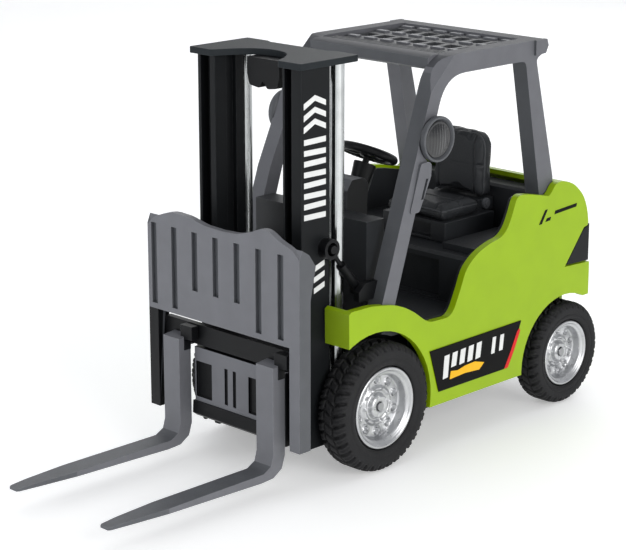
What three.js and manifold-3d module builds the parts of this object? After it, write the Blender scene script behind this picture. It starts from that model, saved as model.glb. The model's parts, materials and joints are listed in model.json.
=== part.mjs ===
// Toy forklift truck, built as an assembly of separate pieces.
// Millimetres, +Z up. The forks point to -Y and the truck's left side is +X.
// Dimensions are measured from the ground under the front axle; every piece is then
// moved so that the origin is on the ground, midway between the fork tips and the
// back of the rear tyres.
import * as THREE from 'three';
import { mergeVertices } from 'three/addons/utils/BufferGeometryUtils.js';
import Module from 'manifold-3d';

const wasm = await Module();
wasm.setup();

// ---------------------------------------------------------------- shared dimensions
// wheels stand on the ground; outerX is the outer face of the left tyre
const wheelOf = (radius, rest) => ({ radius, z: radius, ...rest });
const FRONT = wheelOf(25.4, { width: 13.6, outerX: 42.2, y: 0, rimRadius: 16.4 });
const REAR = wheelOf(21.7, { width: 12.0, outerX: 41.6, y: 112.7, rimRadius: 14.1 });
const AXLE_R = 1.6;
const ARCH_FRONT = { y: -5.7, z: 24.7, radius: 31.9 };
const ARCH_REAR = { y: 109.8, z: 20.6, radius: 27.4 };
const ARCH_X = 27.9;           // inner end of the wheel arches

const HALF_W = 41.5;           // half width over the green body
const WALL = 3.0;              // body wall
const REAR_Y = 126.0;          // rear face of the body
const SILL_Z = 19.2;
const PAN_HALF = 27.3;         // half width of the chassis pan
const PAN_Z = 12.0;            // underside of the pan
const TUB_HALF = 38.1;         // half width of the cab tub

const BATTERY_SCREW = { x: 0, y: 40.6 };
const SPEAKER = { x: -17.5, y: 91 };
const SOUND_BUTTON = { x: 0, z: 66.0 };
const STEER = { y: 34.0, z: 113.2, lean: 25, radius: 12.2 };   // lean in degrees
const LAMP = { x: 38.9, y: 28.5, z: 125.5, radius: 8.8 };      // left work lamp

const GUARD_X0 = 31.0;         // side frames of the overhead guard
const GUARD_X1 = 38.0;

const RAIL = { x0: 17.9, x1: 27.7, y0: -31.2, y1: -16.3, z0: 12.0, z1: 157.5 };
const LIFT_CYL = { x: 24.6, y: -9.4, radius: 2.7 };
const PIVOT = { y: -8.0, z: 24.0, radius: 1.5 };               // mast tilt pivot
const BOSS = { y: -19.0, z: 89.6, radius: 1.6 };               // tilt cylinder boss on the mast
const TILT_FOOT = { x: 30.0, y: -3.5, z: 71.0 };               // tilt cylinder foot on the guard

const BACKREST = { y: -45.9, half: 41.2 };                     // y of its front plane
const FORK = { x0: 21.2, x1: 30.2 };
const SHANK = { y0: -48.6, y1: -42.6, top: 50.0 };
const TINE = { tip: -126.0, top: 10.2, bottom: 6.9 };

const MID_Y = (TINE.tip + REAR.y + REAR.radius) / 2;           // middle of the overall length

// ---------------------------------------------------------------- finishes
const GREEN = 0xa3c52b;
const GREY = 0x66676b;
const DARK = 0x2d2f31;
const BLACK = 0x131415;
const RED = 0xc01a20;
const STEEL = { color: 0xa8aaac, roughness: 0.3, metalness: 1 };
const CHROME = { color: 0xc9cbcd, roughness: 0.25, metalness: 1 };
const TYRE_RUBBER = { color: 0x1f2021, roughness: 0.85 };
const CLEAR = { color: 0xdfe4e8, roughness: 0.1 };
const TAIL_RED = { color: RED, roughness: 0.15 };
const GEAR_PLASTIC = { color: 0xe8e4d8, roughness: 0.5 };
const BOARD_GREEN = { color: 0x1d6b3a, roughness: 0.5 };

// ---------------------------------------------------------------- helpers
function solid(geometry) {
  geometry.deleteAttribute('normal');
  geometry.deleteAttribute('uv');
  const merged = mergeVertices(geometry, 1e-4);
  return new wasm.Manifold(new wasm.Mesh({
    numProp: 3,
    vertProperties: new Float32Array(merged.attributes.position.array),
    triVerts: new Uint32Array(merged.index.array),
  }));
}

// extrudes an outline, turned anticlockwise first if need be
function prism(points, depth, matrix) {
  let area = 0;
  points.forEach((p, i) => {
    const q = points[(i + 1) % points.length];
    area += p[0] * q[1] - q[0] * p[1];
  });
  const ordered = area < 0 ? [...points].reverse() : points;
  const shape = new THREE.Shape(ordered.map(p => new THREE.Vector2(p[0], p[1])));
  const options = { depth, bevelEnabled: false, curveSegments: 1 };
  const geometry = new THREE.ExtrudeGeometry(shape, options);
  geometry.applyMatrix4(matrix);
  return solid(geometry);
}
// outline in (y, z), running along x
const alongX = (points, x0, x1) => prism(points, x1 - x0, new THREE.Matrix4().set(
  0, 0, 1, x0, 1, 0, 0, 0, 0, 1, 0, 0, 0, 0, 0, 1));
const acrossMiddle = (points, half) => alongX(points, -half, half);
// outline in (x, z), running along y
const alongY = (points, y0, y1) => prism(points, y1 - y0, new THREE.Matrix4().set(
  1, 0, 0, 0, 0, 0, -1, y1, 0, 1, 0, 0, 0, 0, 0, 1));
// outline in (x, y), running along z
const alongZ = (points, z0, z1) =>
  prism(points, z1 - z0, new THREE.Matrix4().makeTranslation(0, 0, z0));

function box(x0, x1, y0, y1, z0, z1) {
  const geometry = new THREE.BoxGeometry(x1 - x0, y1 - y0, z1 - z0);
  geometry.translate((x0 + x1) / 2, (y0 + y1) / 2, (z0 + z1) / 2);
  return solid(geometry);
}
// box centred on x = 0
const midBox = (half, y0, y1, z0, z1) => box(-half, half, y0, y1, z0, z1);

function cylinderX(radius, x0, x1, { y, z }, segments) {
  const geometry = new THREE.CylinderGeometry(radius, radius, x1 - x0, segments);
  geometry.rotateZ(-Math.PI / 2);
  geometry.translate((x0 + x1) / 2, y, z);
  return solid(geometry);
}
function cylinderY(radius, y0, y1, { x, z }, segments) {
  const geometry = new THREE.CylinderGeometry(radius, radius, y1 - y0, segments);
  geometry.translate(x, (y0 + y1) / 2, z);
  return solid(geometry);
}
function cylinderZ(radius, z0, z1, { x, y }, segments, topRadius = radius) {
  const geometry = new THREE.CylinderGeometry(topRadius, radius, z1 - z0, segments);
  geometry.rotateX(Math.PI / 2);
  geometry.translate(x, y, (z0 + z1) / 2);
  return solid(geometry);
}
// cutter right across the truck
const crossBore = (radius, at, segments = 20) => cylinderX(radius, -60, 60, at, segments);

// closed profile of (radius, x) points, turned about an axis along x through (y, z)
function turnedX(profile, { y, z }, segments) {
  const points = [...profile, profile[0]].map(p => new THREE.Vector2(p[0], p[1]));
  const turn = list => {
    const geometry = new THREE.LatheGeometry(list, segments);
    geometry.rotateZ(-Math.PI / 2);
    geometry.translate(0, y, z);
    return solid(geometry);
  };
  const turned = turn(points);
  // a negative volume means the profile ran the wrong way round
  return turned.volume() < 0 ? turn([...points].reverse()) : turned;
}

// softens corners with quadratic curves; radii is one radius, or one for each corner
function rounded(points, radii, steps = 4) {
  const out = [];
  const count = points.length;
  points.forEach((corner, i) => {
    const radius = Array.isArray(radii) ? radii[i] : radii;
    if (!radius) {
      out.push(corner);
      return;
    }
    const before = points[(i + count - 1) % count];
    const after = points[(i + 1) % count];
    const back = [before[0] - corner[0], before[1] - corner[1]];
    const ahead = [after[0] - corner[0], after[1] - corner[1]];
    const backLen = Math.hypot(...back);
    const aheadLen = Math.hypot(...ahead);
    const cos = (back[0] * ahead[0] + back[1] * ahead[1]) / (backLen * aheadLen);
    const halfAngle = Math.acos(Math.max(-1, Math.min(1, cos))) / 2;
    const reach = Math.min(radius / Math.tan(halfAngle), backLen * 0.48, aheadLen * 0.48);
    const start = corner.map((c, k) => c + back[k] / backLen * reach);
    const end = corner.map((c, k) => c + ahead[k] / aheadLen * reach);
    for (let step = 0; step <= steps; step++) {
      const t = step / steps;
      out.push(corner.map((c, k) =>
        (1 - t) * (1 - t) * start[k] + 2 * t * (1 - t) * c + t * t * end[k]));
    }
  });
  return out;
}

const join = (...solids) => solids.reduce((a, b) => a.add(b));
const cut = (body, ...cutters) => cutters.reduce((a, b) => a.subtract(b), body);
const mirrorX = body => body.mirror([1, 0, 0]);
const both = body => body.add(mirrorX(body));

const group = new THREE.Group();
function addPiece(name, body, finish) {
  const data = body.translate([0, -MID_Y, 0]).getMesh();
  const geometry = new THREE.BufferGeometry();
  const positions = new Float32Array(data.vertProperties);
  geometry.setAttribute('position', new THREE.BufferAttribute(positions, 3));
  geometry.setIndex(new THREE.BufferAttribute(new Uint32Array(data.triVerts), 1));
  const mesh = new THREE.Mesh(geometry, new THREE.MeshStandardMaterial(
    { metalness: 0, ...finish }));
  mesh.name = name;
  group.add(mesh);
}
// a left piece and its mirror image
function addPair(name, left, finish) {
  addPiece(`${name}_left`, left, finish);
  addPiece(`${name}_right`, mirrorX(left), finish);
}

// ---------------------------------------------------------------- body shell
// side view of the body as (y, z), from the nose over the top to the rear and back below
const BODY_CORNERS = [
  [-20.0, 52.0], [-20.2, 66.6], [-18.8, 67.5], [-8.0, 67.4], [3.6, 65.6], [10.4, 63.2],
  [16.2, 59.9], [22.0, 55.7], [25.4, 54.1], [36.2, 53.8], [39.2, 56.1], [43.0, 63.9],
  [45.8, 70.6], [49.3, 74.0], [54.1, 76.9], [61.3, 79.2], [67.6, 80.2], [71.4, 83.4],
  [74.0, 88.6], [76.3, 94.2], [78.6, 95.6], [84.0, 94.9], [97.4, 92.0], [99.0, 93.4],
  [101.4, 96.4], [105.5, 97.0], [110.0, 95.9], [114.0, 94.2], [120.4, 88.9], [123.6, 81.8],
  [125.6, 68.0], [REAR_Y, 56.0], [REAR_Y, 30.0], [124.0, 15.5], [84.0, 15.5],
  [82.8, SILL_Z], [27.2, SILL_Z], [24.0, 15.5], [-20.0, 15.5],
];
// the upper edge flows in soft curves; the nose and the lower edge keep their corners
const cornerRadius = ([, z], i) => {
  if (i < 2 || z < 53) return 0;
  return i === 2 ? 1 : 30;
};
const BODY_OUTLINE = rounded(BODY_CORNERS, BODY_CORNERS.map(cornerRadius), 3);
// hollow below the rear hood, as (y, z)
const HOOD_HOLLOW = [
  [103.0, 0], [124.2, 0], [124.2, 56.0], [123.9, 67.9], [121.7, 81.2], [118.7, 87.4],
  [113.2, 92.2], [109.6, 94.1], [106.6, 95.0], [103.0, 94.7],
];

function bodyShell() {
  const innerHalf = HALF_W - WALL;
  const arch = ({ radius, ...at }) => both(cylinderX(radius, ARCH_X, 60, at, 48));
  // wedge recess that runs round each rear corner
  const tailSeat = join(
    alongX([[109.2, 59.9], [124.0, 59.2], [130, 59.0], [130, 76.6], [121.4, 74.6]], 39.8, 50),
    box(31.2, 50, 124.0, 130, 60.0, 76.0));
  return cut(acrossMiddle(BODY_OUTLINE, HALF_W),
    // everything between the side walls, from the nose back to the rear hood
    midBox(innerHalf, -18.4, 104.0, 0, 120),
    acrossMiddle(HOOD_HOLLOW, innerHalf),
    // mast well between the fender noses
    midBox(28.9, -40, -10, 0, 130),
    arch(ARCH_FRONT),
    arch(ARCH_REAR),
    // nothing of the shell hangs below the arches' ends in front and behind
    midBox(60, -60, ARCH_FRONT.y + 4, -5, 51.6),
    both(box(ARCH_X, 60, ARCH_REAR.y, 140, -5, 45.0)),
    midBox(60, -60, 27.0, -5, SILL_Z),
    midBox(60, 82.0, 108.0, -5, SILL_Z),
    both(tailSeat),
    cylinderY(4.4, 120, 130, SOUND_BUTTON, 24));
}

// ---------------------------------------------------------------- chassis pan
// speaker holes as (x, y) from the speaker's centre
const SPEAKER_HOLES = [[-3, -3], [0, -3], [3, -3], [-3, 0], [0, 0], [3, 0], [0, 3]];

function chassisPan() {
  const floor = cut(
    join(
      midBox(PAN_HALF, -2.0, 122.0, PAN_Z, 14.6),
      midBox(38.2, 28.0, 78.0, 19.6, 22.0),
      midBox(PAN_HALF, 26.0, 79.0, PAN_Z, 22.0)),
    midBox(24.5, 29.0, 76.6, 14.6, 30.0));
  const bearing = (wheel, top) =>
    both(box(21.6, PAN_HALF, wheel.y - 4.6, wheel.y + 4.6, 12.5, top));
  const bulkhead = midBox(PAN_HALF, -1.9, 0.0, PAN_Z, 19.0);
  // ears that carry the mast pivot
  const ear = alongX(rounded(
    [[-11.4, PAN_Z], [0.0, PAN_Z], [0.0, 19.0], [-4.0, 27.6], [-11.4, 27.6]],
    [0, 0, 0, 2, 3]), 10.6, 13.6);
  // inner wall of a wheel well
  const wellWall = (y0, y1) => both(box(PAN_HALF - 1.5, PAN_HALF, y0, y1, 13.0, 51.4));
  let pan = join(floor, bearing(FRONT, 30.4), bearing(REAR, 26.6), bulkhead, both(ear),
    wellWall(-1.9, 28.0), wellWall(82.0, 122.0));
  pan = cut(pan,
    crossBore(AXLE_R + 0.25, FRONT),
    crossBore(AXLE_R + 0.25, REAR),
    crossBore(PIVOT.radius + 0.12, PIVOT),
    midBox(20.0, 44.0, 74.0, 11.0, 16.0),              // battery opening
    midBox(8.0, 84.0, 119.0, 10.0, 15.0));             // gearbox well
  // boss for the battery cover's screw
  pan = join(pan, cylinderZ(3.4, 14.4, 20.0, BATTERY_SCREW, 20));
  return cut(pan,
    cylinderZ(1.1, 10, 24, BATTERY_SCREW, 12),
    ...SPEAKER_HOLES.map(([x, y]) =>
      cylinderZ(0.9, 10, 18, { x: x + SPEAKER.x, y: y + SPEAKER.y }, 6)));
}

// ---------------------------------------------------------------- cab tub
// engine cover in side view, as (y, z)
const ENGINE_COVER = [
  [103.4, 51.9], [103.4, 93.4], [98.2, 92.6], [97.0, 91.6],
  [97.0, 74.2], [51.0, 74.2], [49.8, 73.0], [49.8, 51.9],
];

// liner inside each green side wall, a little lower than the wall's rounded edge
function wallLiners() {
  const top = BODY_OUTLINE.filter(([y, z]) => y > 9 && y < 104 && z > 53);
  const below = (dy, dz) => alongX(
    [[10.4, 52.2], ...top.map(([y, z]) => [y + dy, z + dz]), [106, 52.2]],
    TUB_HALF - 1.5, TUB_HALF);
  return both(below(0, -1.3).intersect(below(1.2, 0))
    .intersect(box(0, 60, 12.0, 103.0, 52.2, 120)));
}

function cabTub() {
  const tub = cut(
    join(
      midBox(TUB_HALF, 1.2, 52.0, 51.9, 54.4),         // floor
      midBox(30.0, 1.2, 10.9, 51.9, 96.0),             // front cowl
      acrossMiddle(ENGINE_COVER, TUB_HALF)),
    midBox(TUB_HALF - 2, 55.0, 101.6, 40, 72.2),       // hollow under the engine cover
    midBox(28.4, 3.2, 9.0, 40, 94.0),                  // hollow cowl
    midBox(24.2, 49.0, 53.4, 55.2, 71.2),              // footwell recess below the seat
    both(cylinderX(30.0, ARCH_X, 60, ARCH_FRONT, 40))); // clearance over the front wheels
  const sideConsole = box(21.5, TUB_HALF, 55.0, 92.0, 73.8, 77.0);
  return join(tub, both(sideConsole), wallLiners());
}

// ---------------------------------------------------------------- panel and steering
// leans a solid built about the z axis back (+Y at the top) and puts it at the wheel centre
const placeSteering = body =>
  body.rotate([-STEER.lean, 0, 0]).translate([0, STEER.y, STEER.z]);
const AXIS = { x: 0, y: 0 };

function instrumentPanel() {
  const pod = acrossMiddle(rounded(
    [[11.4, 94.4], [22.6, 94.4], [23.6, 104.2], [20.6, 107.0], [14.2, 107.0], [11.4, 103.0]],
    [0, 0, 0.8, 1.2, 1.2, 0.8], 3), 10.0);
  return cut(join(pod, midBox(10.0, 11.4, 23.0, 78.0, 94.5)),
    midBox(8.2, 13.4, 21.0, 70.0, 92.0),
    placeSteering(cylinderZ(5.3, -60, 10, AXIS, 20))); // clearance for the column
}

function steeringColumn() {
  const column = cut(
    join(
      cylinderZ(2.4, -60, -5.2, AXIS, 16),
      cylinderZ(3.4, -17, -4.2, AXIS, 20, 4.6)),
    cylinderZ(1.65, -9.6, 0, AXIS, 16));
  // trimmed behind the cowl and above the floor
  return cut(placeSteering(column),
    midBox(50, -20, 11.3, 0, 200),
    midBox(50, -20, 80, 0, 54.7));
}

function steeringWheel() {
  const tube = 1.7;
  const spokes = [90, 210, 330].map(angle =>
    midBox(1.3, 1.0, STEER.radius - 1.5, -0.8, 0.6).rotate([0, 0, angle]));
  return placeSteering(join(
    solid(new THREE.TorusGeometry(STEER.radius - tube, tube, 8, 28)),
    cylinderZ(2.6, -1.6, 1.0, AXIS, 20),               // hub
    ...spokes,
    cylinderZ(1.3, -9.0, -1.4, AXIS, 14)));            // stub that enters the column
}

// ---------------------------------------------------------------- seat
function seatBase() {
  return cut(
    join(midBox(17.0, 61.4, 92.4, 74.4, 82.6), midBox(13.0, 86.6, 96.4, 82.0, 87.4)),
    midBox(9.2, 60, 64.4, 75.6, 81.4),
    midBox(15.0, 66.0, 90.4, 70, 80.6));
}
const seatCushion = () => acrossMiddle(
  rounded([[60.8, 82.8], [85.6, 82.8], [85.6, 89.0], [60.8, 88.2]], 1.6), 17.2);
const seatBack = () => alongY(
  rounded([[-15.2, 87.9], [15.2, 87.9], [15.0, 116.6], [-15.0, 116.6]], [2, 2, 9.5, 9.5], 6),
  87.8, 95.6);

// ---------------------------------------------------------------- overhead guard
// one side frame as (y, z): front post, roof rail and rear post
const FRAME_OUTLINE = [
  [-2.3, 54.7], [5.5, 54.7], [35.9, 148.3], [84.0, 148.3], [94.5, 95.0],
  [95.8, 88.4], [103.5, 88.4], [103.5, 98.6], [90.7, 148.4], [95.2, 150.4],
  [96.6, 153.4], [95.6, 156.0], [32.1, 156.0],
];
const FRAME_RADII = [0, 0, 15.3, 3, 0, 0, 0, 0, 2.5, 1.5, 1.2, 1, 16.7];
// the front posts move outwards and forwards between the top and bottom of the splay
const SPLAY = { top: 146, bottom: 106, out: 2.3, forwardPerOut: 1.17 };
// cross members and corner block of the roof, as (y, z)
const FRONT_MEMBER = [
  [33.0, 150.9], [34.6, 150.0], [40.6, 150.6], [40.6, 155.5], [35.6, 155.5], [33.2, 154.7],
];
const REAR_MEMBER = [[88.4, 150.8], [95.2, 150.8], [96.4, 153.4], [95.6, 155.9], [88.4, 155.9]];
const REAR_CORNER = [[89.0, 150.0], [95.2, 150.4], [96.8, 153.4], [95.8, 156.0], [89.0, 156.0]];
const TILT_FOOT_PLATE = [[-8.5, 67.8], [2.4, 67.8], [4.0, 74.5], [-5.0, 74.5], [-8.5, 71.6]];
const LAMP_STAY = [[24.0, 121.0], [30.0, 121.0], [32.4, 126.0], [31.0, 130.0], [25.4, 130.0]];
// plane of the bevelled top front corner on the left: normal . point = offset
const BEVEL = { normal: [76, -58.5, 60.75], offset: 9966.5 };

function guardSide() {
  const { top, bottom, out, forwardPerOut } = SPLAY;
  const whole = alongX(rounded(FRAME_OUTLINE, FRAME_RADII, 8), GUARD_X0, GUARD_X1);
  const postPart = (z0, z1) => whole.intersect(box(20, 50, -10, 60, z0, z1));
  const splayed = postPart(bottom, top).warp(v => {
    const shift = out * THREE.MathUtils.clamp((top - v[2]) / (top - bottom), 0, 1);
    v[0] += shift;
    v[1] -= forwardPerOut * shift;
  });
  const side = join(
    cut(whole, box(20, 50, -10, 60, 50, top)),
    splayed,
    postPart(50, bottom).translate([out, -forwardPerOut * out, 0]));
  return cut(side, cylinderX(ARCH_FRONT.radius + 0.4, ARCH_X, 60, ARCH_FRONT, 40));
}

// raised pad on the outer side of a front post, with a slot
function postPad() {
  const pad = alongX(rounded(
    [[13.4, 98.8], [18.6, 98.8], [25.0, 111.6], [25.4, 117.4], [19.4, 117.4]],
    [1, 1.5, 3, 2, 1.5], 3), GUARD_X1 - 1.5, GUARD_X1 + 2.9);
  return cut(pad, alongX([[19.4, 103.4], [20.8, 103.4], [23.6, 111.2], [22.2, 111.2]],
    GUARD_X1 + 1.7, GUARD_X1 + 4));
}

function guardFrame() {
  let guard = join(both(guardSide()),
    acrossMiddle(FRONT_MEMBER, 31.3),
    acrossMiddle(REAR_MEMBER, 31.3),
    both(alongX(REAR_CORNER, GUARD_X1 - 0.5, GUARD_X1 + 1.2)),
    both(postPad()),
    both(alongX(TILT_FOOT_PLATE, 32.6, 35.4)),
    both(cylinderX(1.1, 27.9, 33.2, TILT_FOOT, 12)),
    both(alongX(LAMP_STAY, GUARD_X1 - 0.5, GUARD_X1 + 0.6)));
  // flat seats for the lamps
  guard = cut(guard, both(cylinderX(LAMP.radius + 0.1, LAMP.x - 0.04, 50, LAMP, 32)));
  const size = Math.hypot(...BEVEL.normal);
  const [nx, ny, nz] = BEVEL.normal.map(n => -n / size);
  for (const side of [1, -1]) {
    guard = guard.trimByPlane([nx * side, ny, nz], -BEVEL.offset / size);
  }
  return guard;
}

// roof plate with a higher front part, as (y, z)
const ROOF_OUTLINE = [
  [40.7, 151.4], [88.2, 151.4], [88.2, 154.4], [48.6, 154.4], [48.0, 155.2], [40.7, 155.2],
];
const ROOF_COLUMNS = { count: 7, pitch: 8.9 };

function roofGrille() {
  let roof = acrossMiddle(ROOF_OUTLINE, 30.8);
  // shallow grooves across the front part
  for (const y of [42.4, 44.6, 46.8]) {
    roof = cut(roof, midBox(29.0, y - 0.35, y + 0.35, 154.7, 160));
  }
  // rows of raised ribs; each but the last has a row of openings behind it
  const { count, pitch } = ROOF_COLUMNS;
  for (const [y, open] of [[54.0, true], [71.0, true], [86.4, false]]) {
    for (let column = 0; column < count; column++) {
      const x = (column - (count - 1) / 2) * pitch;
      if (open) roof = cut(roof, box(x - 3.1, x + 3.1, y + 4.2, y + 11.6, 140, 170));
      roof = join(roof, box(x - 2.8, x + 2.8, y - 1.3, y + 1.3, 153.0, 155.2));
    }
  }
  return roof;
}

// ---------------------------------------------------------------- lamps and side panels
// shallow round cup open to the side
function lampHousing() {
  const { x, radius } = LAMP;
  return turnedX([
    [0.9, x], [radius - 1.6, x], [radius, x + 1.0], [radius, x + 3.1],
    [radius - 1.3, x + 3.1], [radius - 1.5, x + 1.6], [0.9, x + 1.6],
  ], LAMP, 28);
}
const lampLens = () => cylinderX(LAMP.radius - 1.9, LAMP.x + 1.8, LAMP.x + 2.7, LAMP, 24);

// a wedge on the flank and a frame round the lens on the rear face
function tailBezel() {
  const wedge = alongX(
    [[110.6, 60.3], [124.0, 59.8], [125.6, 59.8], [125.6, 75.2], [121.6, 73.6]], 40.1, 41.2);
  const frame = cut(
    box(31.6, 41.2, 124.4, 125.6, 60.4, 75.6),
    box(33.1, 39.9, 120, 130, 61.8, 74.4));
  return join(wedge, frame);
}
const tailLens = () => box(33.3, 39.7, 124.3, 125.9, 62.0, 74.2);

const sidePanel = () => cut(
  alongX([[24.9, 42.4], [81.0, 43.0], [73.0, 24.6], [30.5, 24.6]], 41.55, 41.95),
  cylinderX(ARCH_FRONT.radius + 1.0, 30, 60, ARCH_FRONT, 48));

// ---------------------------------------------------------------- power and sound
function batteryCover() {
  return cut(
    join(
      midBox(19.7, 44.3, 73.7, PAN_Z, 13.6),
      midBox(5.0, 36.4, 46.0, 10.4, 11.7),             // screw tab
      midBox(5.0, 44.3, 46.0, 10.4, 12.6)),            // step from the tab to the cover
    cylinderZ(1.5, 5, 16, BATTERY_SCREW, 14));
}
const batteryScrew = () => join(
  cylinderZ(0.9, 10.2, 18.6, BATTERY_SCREW, 12),
  cylinderZ(2.0, 9.4, 10.3, BATTERY_SCREW, 16));
const buttonCell = x => cylinderZ(5.8, 14.0, 19.4, { x, y: 59 }, 24);
const circuitBoard = () => midBox(22.0, 31.0, 74.0, 24.0, 25.4);
const speaker = () => join(
  cylinderZ(7.0, 14.9, 17.0, SPEAKER, 24),
  cylinderZ(4.6, 16.9, 19.6, SPEAKER, 20));
const soundButton = () => join(
  cylinderY(4.0, 122.6, 127.2, SOUND_BUTTON, 24),
  cylinderY(5.6, 119.4, 123.0, SOUND_BUTTON, 24));

// ---------------------------------------------------------------- wheels and axles
// plain tread with wide sloping shoulders
function tyre(wheel) {
  const { radius, rimRadius, outerX } = wheel;
  const innerX = outerX - wheel.width;
  const scale = radius / FRONT.radius;
  return turnedX([
    [rimRadius + 0.15, outerX - 1.4], [rimRadius + 2.4 * scale, outerX],
    [radius - 2.2 * scale, outerX - 0.3], [radius, outerX - 2.6],
    [radius, innerX + 2.6], [radius - 2.2 * scale, innerX + 0.3],
    [rimRadius + 2.4 * scale, innerX], [rimRadius + 0.15, innerX + 1.4],
  ], wheel, 32);
}
function rim(wheel) {
  const { rimRadius, outerX } = wheel;
  const innerX = outerX - wheel.width;
  const scale = wheel.radius / FRONT.radius;
  const bore = AXLE_R + 0.05;
  return turnedX([
    [bore, innerX + 3.4], [bore, outerX - 2.9], [5.0 * scale, outerX - 3.1],
    [5.6 * scale, outerX - 5.0], [11.0 * scale, outerX - 4.4], [14.6 * scale, outerX - 1.2],
    [rimRadius - 0.6, outerX - 0.5], [rimRadius, outerX - 1.2], [rimRadius, innerX + 2.2],
    [rimRadius - 1.6, innerX + 2.2], [rimRadius - 2.6, outerX - 6.4], [5.0, outerX - 7.4],
    [5.0, innerX + 3.4],
  ], wheel, 28);
}
const axle = (wheel, half) => cylinderX(AXLE_R, -half, half, wheel, 20);

// ---------------------------------------------------------------- friction drive
const GEAR_MODULE = 0.9;
const TEETH = { axle: 14, idlerSmall: 10, idlerLarge: 18, flywheel: 10 };
const GEAR_LINE = 128 * Math.PI / 180;                 // all centres lie on this slope from +y

// centre of a gear that meshes with one at `from`, with a little play
function meshedCentre(from, teeth, nextTeeth) {
  const distance = (teeth + nextTeeth) * GEAR_MODULE / 2 + 0.25;
  return {
    y: from.y + distance * Math.cos(GEAR_LINE),
    z: from.z + distance * Math.sin(GEAR_LINE),
  };
}
const IDLER = meshedCentre(REAR, TEETH.axle, TEETH.idlerSmall);
const FLYWHEEL = meshedCentre(IDLER, TEETH.idlerLarge, TEETH.flywheel);
// turns a driven gear so that a gap faces the tooth pointing at it
const gapPhase = teeth => GEAR_LINE + Math.PI + Math.PI / teeth;

function gear(teeth, x0, x1, at, phase) {
  const pitchR = teeth * GEAR_MODULE / 2;
  const tipR = pitchR + GEAR_MODULE * 0.8;
  const rootR = pitchR - GEAR_MODULE * 1.25;
  const pitch = 2 * Math.PI / teeth;
  // one tooth as (radius, share of the pitch from its middle)
  const tooth = [
    [rootR, -0.30], [pitchR, -0.20], [tipR, -0.09], [tipR, 0.09], [pitchR, 0.20], [rootR, 0.30],
  ];
  const points = [];
  for (let i = 0; i < teeth; i++) {
    for (const [radius, share] of tooth) {
      const angle = phase + (i + share) * pitch;
      points.push([at.y + radius * Math.cos(angle), at.z + radius * Math.sin(angle)]);
    }
  }
  return alongX(points, x0, x1);
}
const gearShaft = at => cylinderX(1.1, -8.6, 8.6, at, 12);
const axleGear = () => cut(
  gear(TEETH.axle, 1.0, 4.6, REAR, GEAR_LINE),
  crossBore(AXLE_R + 0.05, REAR));
const idlerGear = () => join(
  gear(TEETH.idlerSmall, 0.6, 5.2, IDLER, gapPhase(TEETH.idlerSmall)),
  gear(TEETH.idlerLarge, -2.6, 0.8, IDLER, GEAR_LINE),
  gearShaft(IDLER));
const flywheel = () => join(
  gear(TEETH.flywheel, -3.0, 1.2, FLYWHEEL, gapPhase(TEETH.flywheel)),
  cylinderX(7.4, 1.2, 6.0, FLYWHEEL, 28),
  gearShaft(FLYWHEEL));

// two cheeks joined by a lid; the shafts turn in the cheeks
function gearboxHousing() {
  const cheek = alongX(
    [[82.0, 15.0], [121.0, 15.0], [121.0, 33.0], [110.0, 50.4], [82.0, 50.4]], 7.0, 8.8);
  return cut(join(both(cheek), midBox(8.8, 82.0, 110.0, 49.0, 50.4)),
    crossBore(AXLE_R + 0.4, REAR, 16),
    midBox(20, REAR.y - 2.0, REAR.y + 2.0, 10, REAR.z), // axle slot, open below
    crossBore(1.5, IDLER, 12),
    crossBore(1.5, FLYWHEEL, 12));
}

// ---------------------------------------------------------------- mast
// left rail with a groove down its front face from grooveX0 to grooveX1
function mastRail(grooveX0, grooveX1) {
  const { x0, x1, y0, y1, z0, z1 } = RAIL;
  const corners = [[x0, y0], [x1, y0], [x1, y1], [x0, y1]];
  const channel = cut(alongZ(rounded(corners, [0.4, 0.9, 0.4, 0.4], 2), z0, z1),
    box(grooveX0, grooveX1, -40, y0 + 4.2, 0, 200),
    box(x0 - 1, x0 + 2.0, -25.4, -20.4, 0, 200));      // groove in the inner face
  // stepped boss for the tilt cylinder rod
  return join(channel,
    cylinderX(BOSS.radius, x1 - 0.5, 32.6, BOSS, 18),
    cylinderX(3.9, x1 - 0.5, 28.4, BOSS, 22));
}

function mastCrosshead() {
  // curved recess in the front edge, as (x, y)
  const recess = [];
  for (let i = -10; i <= 10; i++) {
    recess.push([1.72 * i, -17.2 - 15.4 * Math.abs(i / 10) ** 2.6]);
  }
  const outline = rounded([
    [-29.6, -33.4], [-18.2, -33.4], ...recess, [18.2, -33.4], [29.6, -33.4],
    [29.6, -3.0], [18.0, -3.0], [15.5, -4.4], [-15.5, -4.4], [-18.0, -3.0], [-29.6, -3.0],
  ], [0.8, 0.5, ...recess.map(() => 0), 0.5, 0.8, 1.2, 0.8, 0.8, 0.8, 0.8, 1.2], 3);
  return alongZ(outline, RAIL.z1 + 0.05, 160.0);
}

// block hung below the crosshead, with a notch in its lower edge
function pulleyBlock() {
  const top = RAIL.z1;
  const outline = rounded([
    [-8.6, top], [-8.6, 151.0], [-7.4, 147.0], [-2.0, 146.2], [0, 149.4],
    [2.0, 146.2], [7.4, 147.0], [8.6, 151.0], [8.6, top],
  ], [0, 1.2, 1.6, 1.6, 0.6, 1.6, 1.6, 1.2, 0], 3);
  return join(alongY(outline, -23.5, -17.5), midBox(7.4, -20.5, -9.0, 154.6, top));
}

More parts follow.
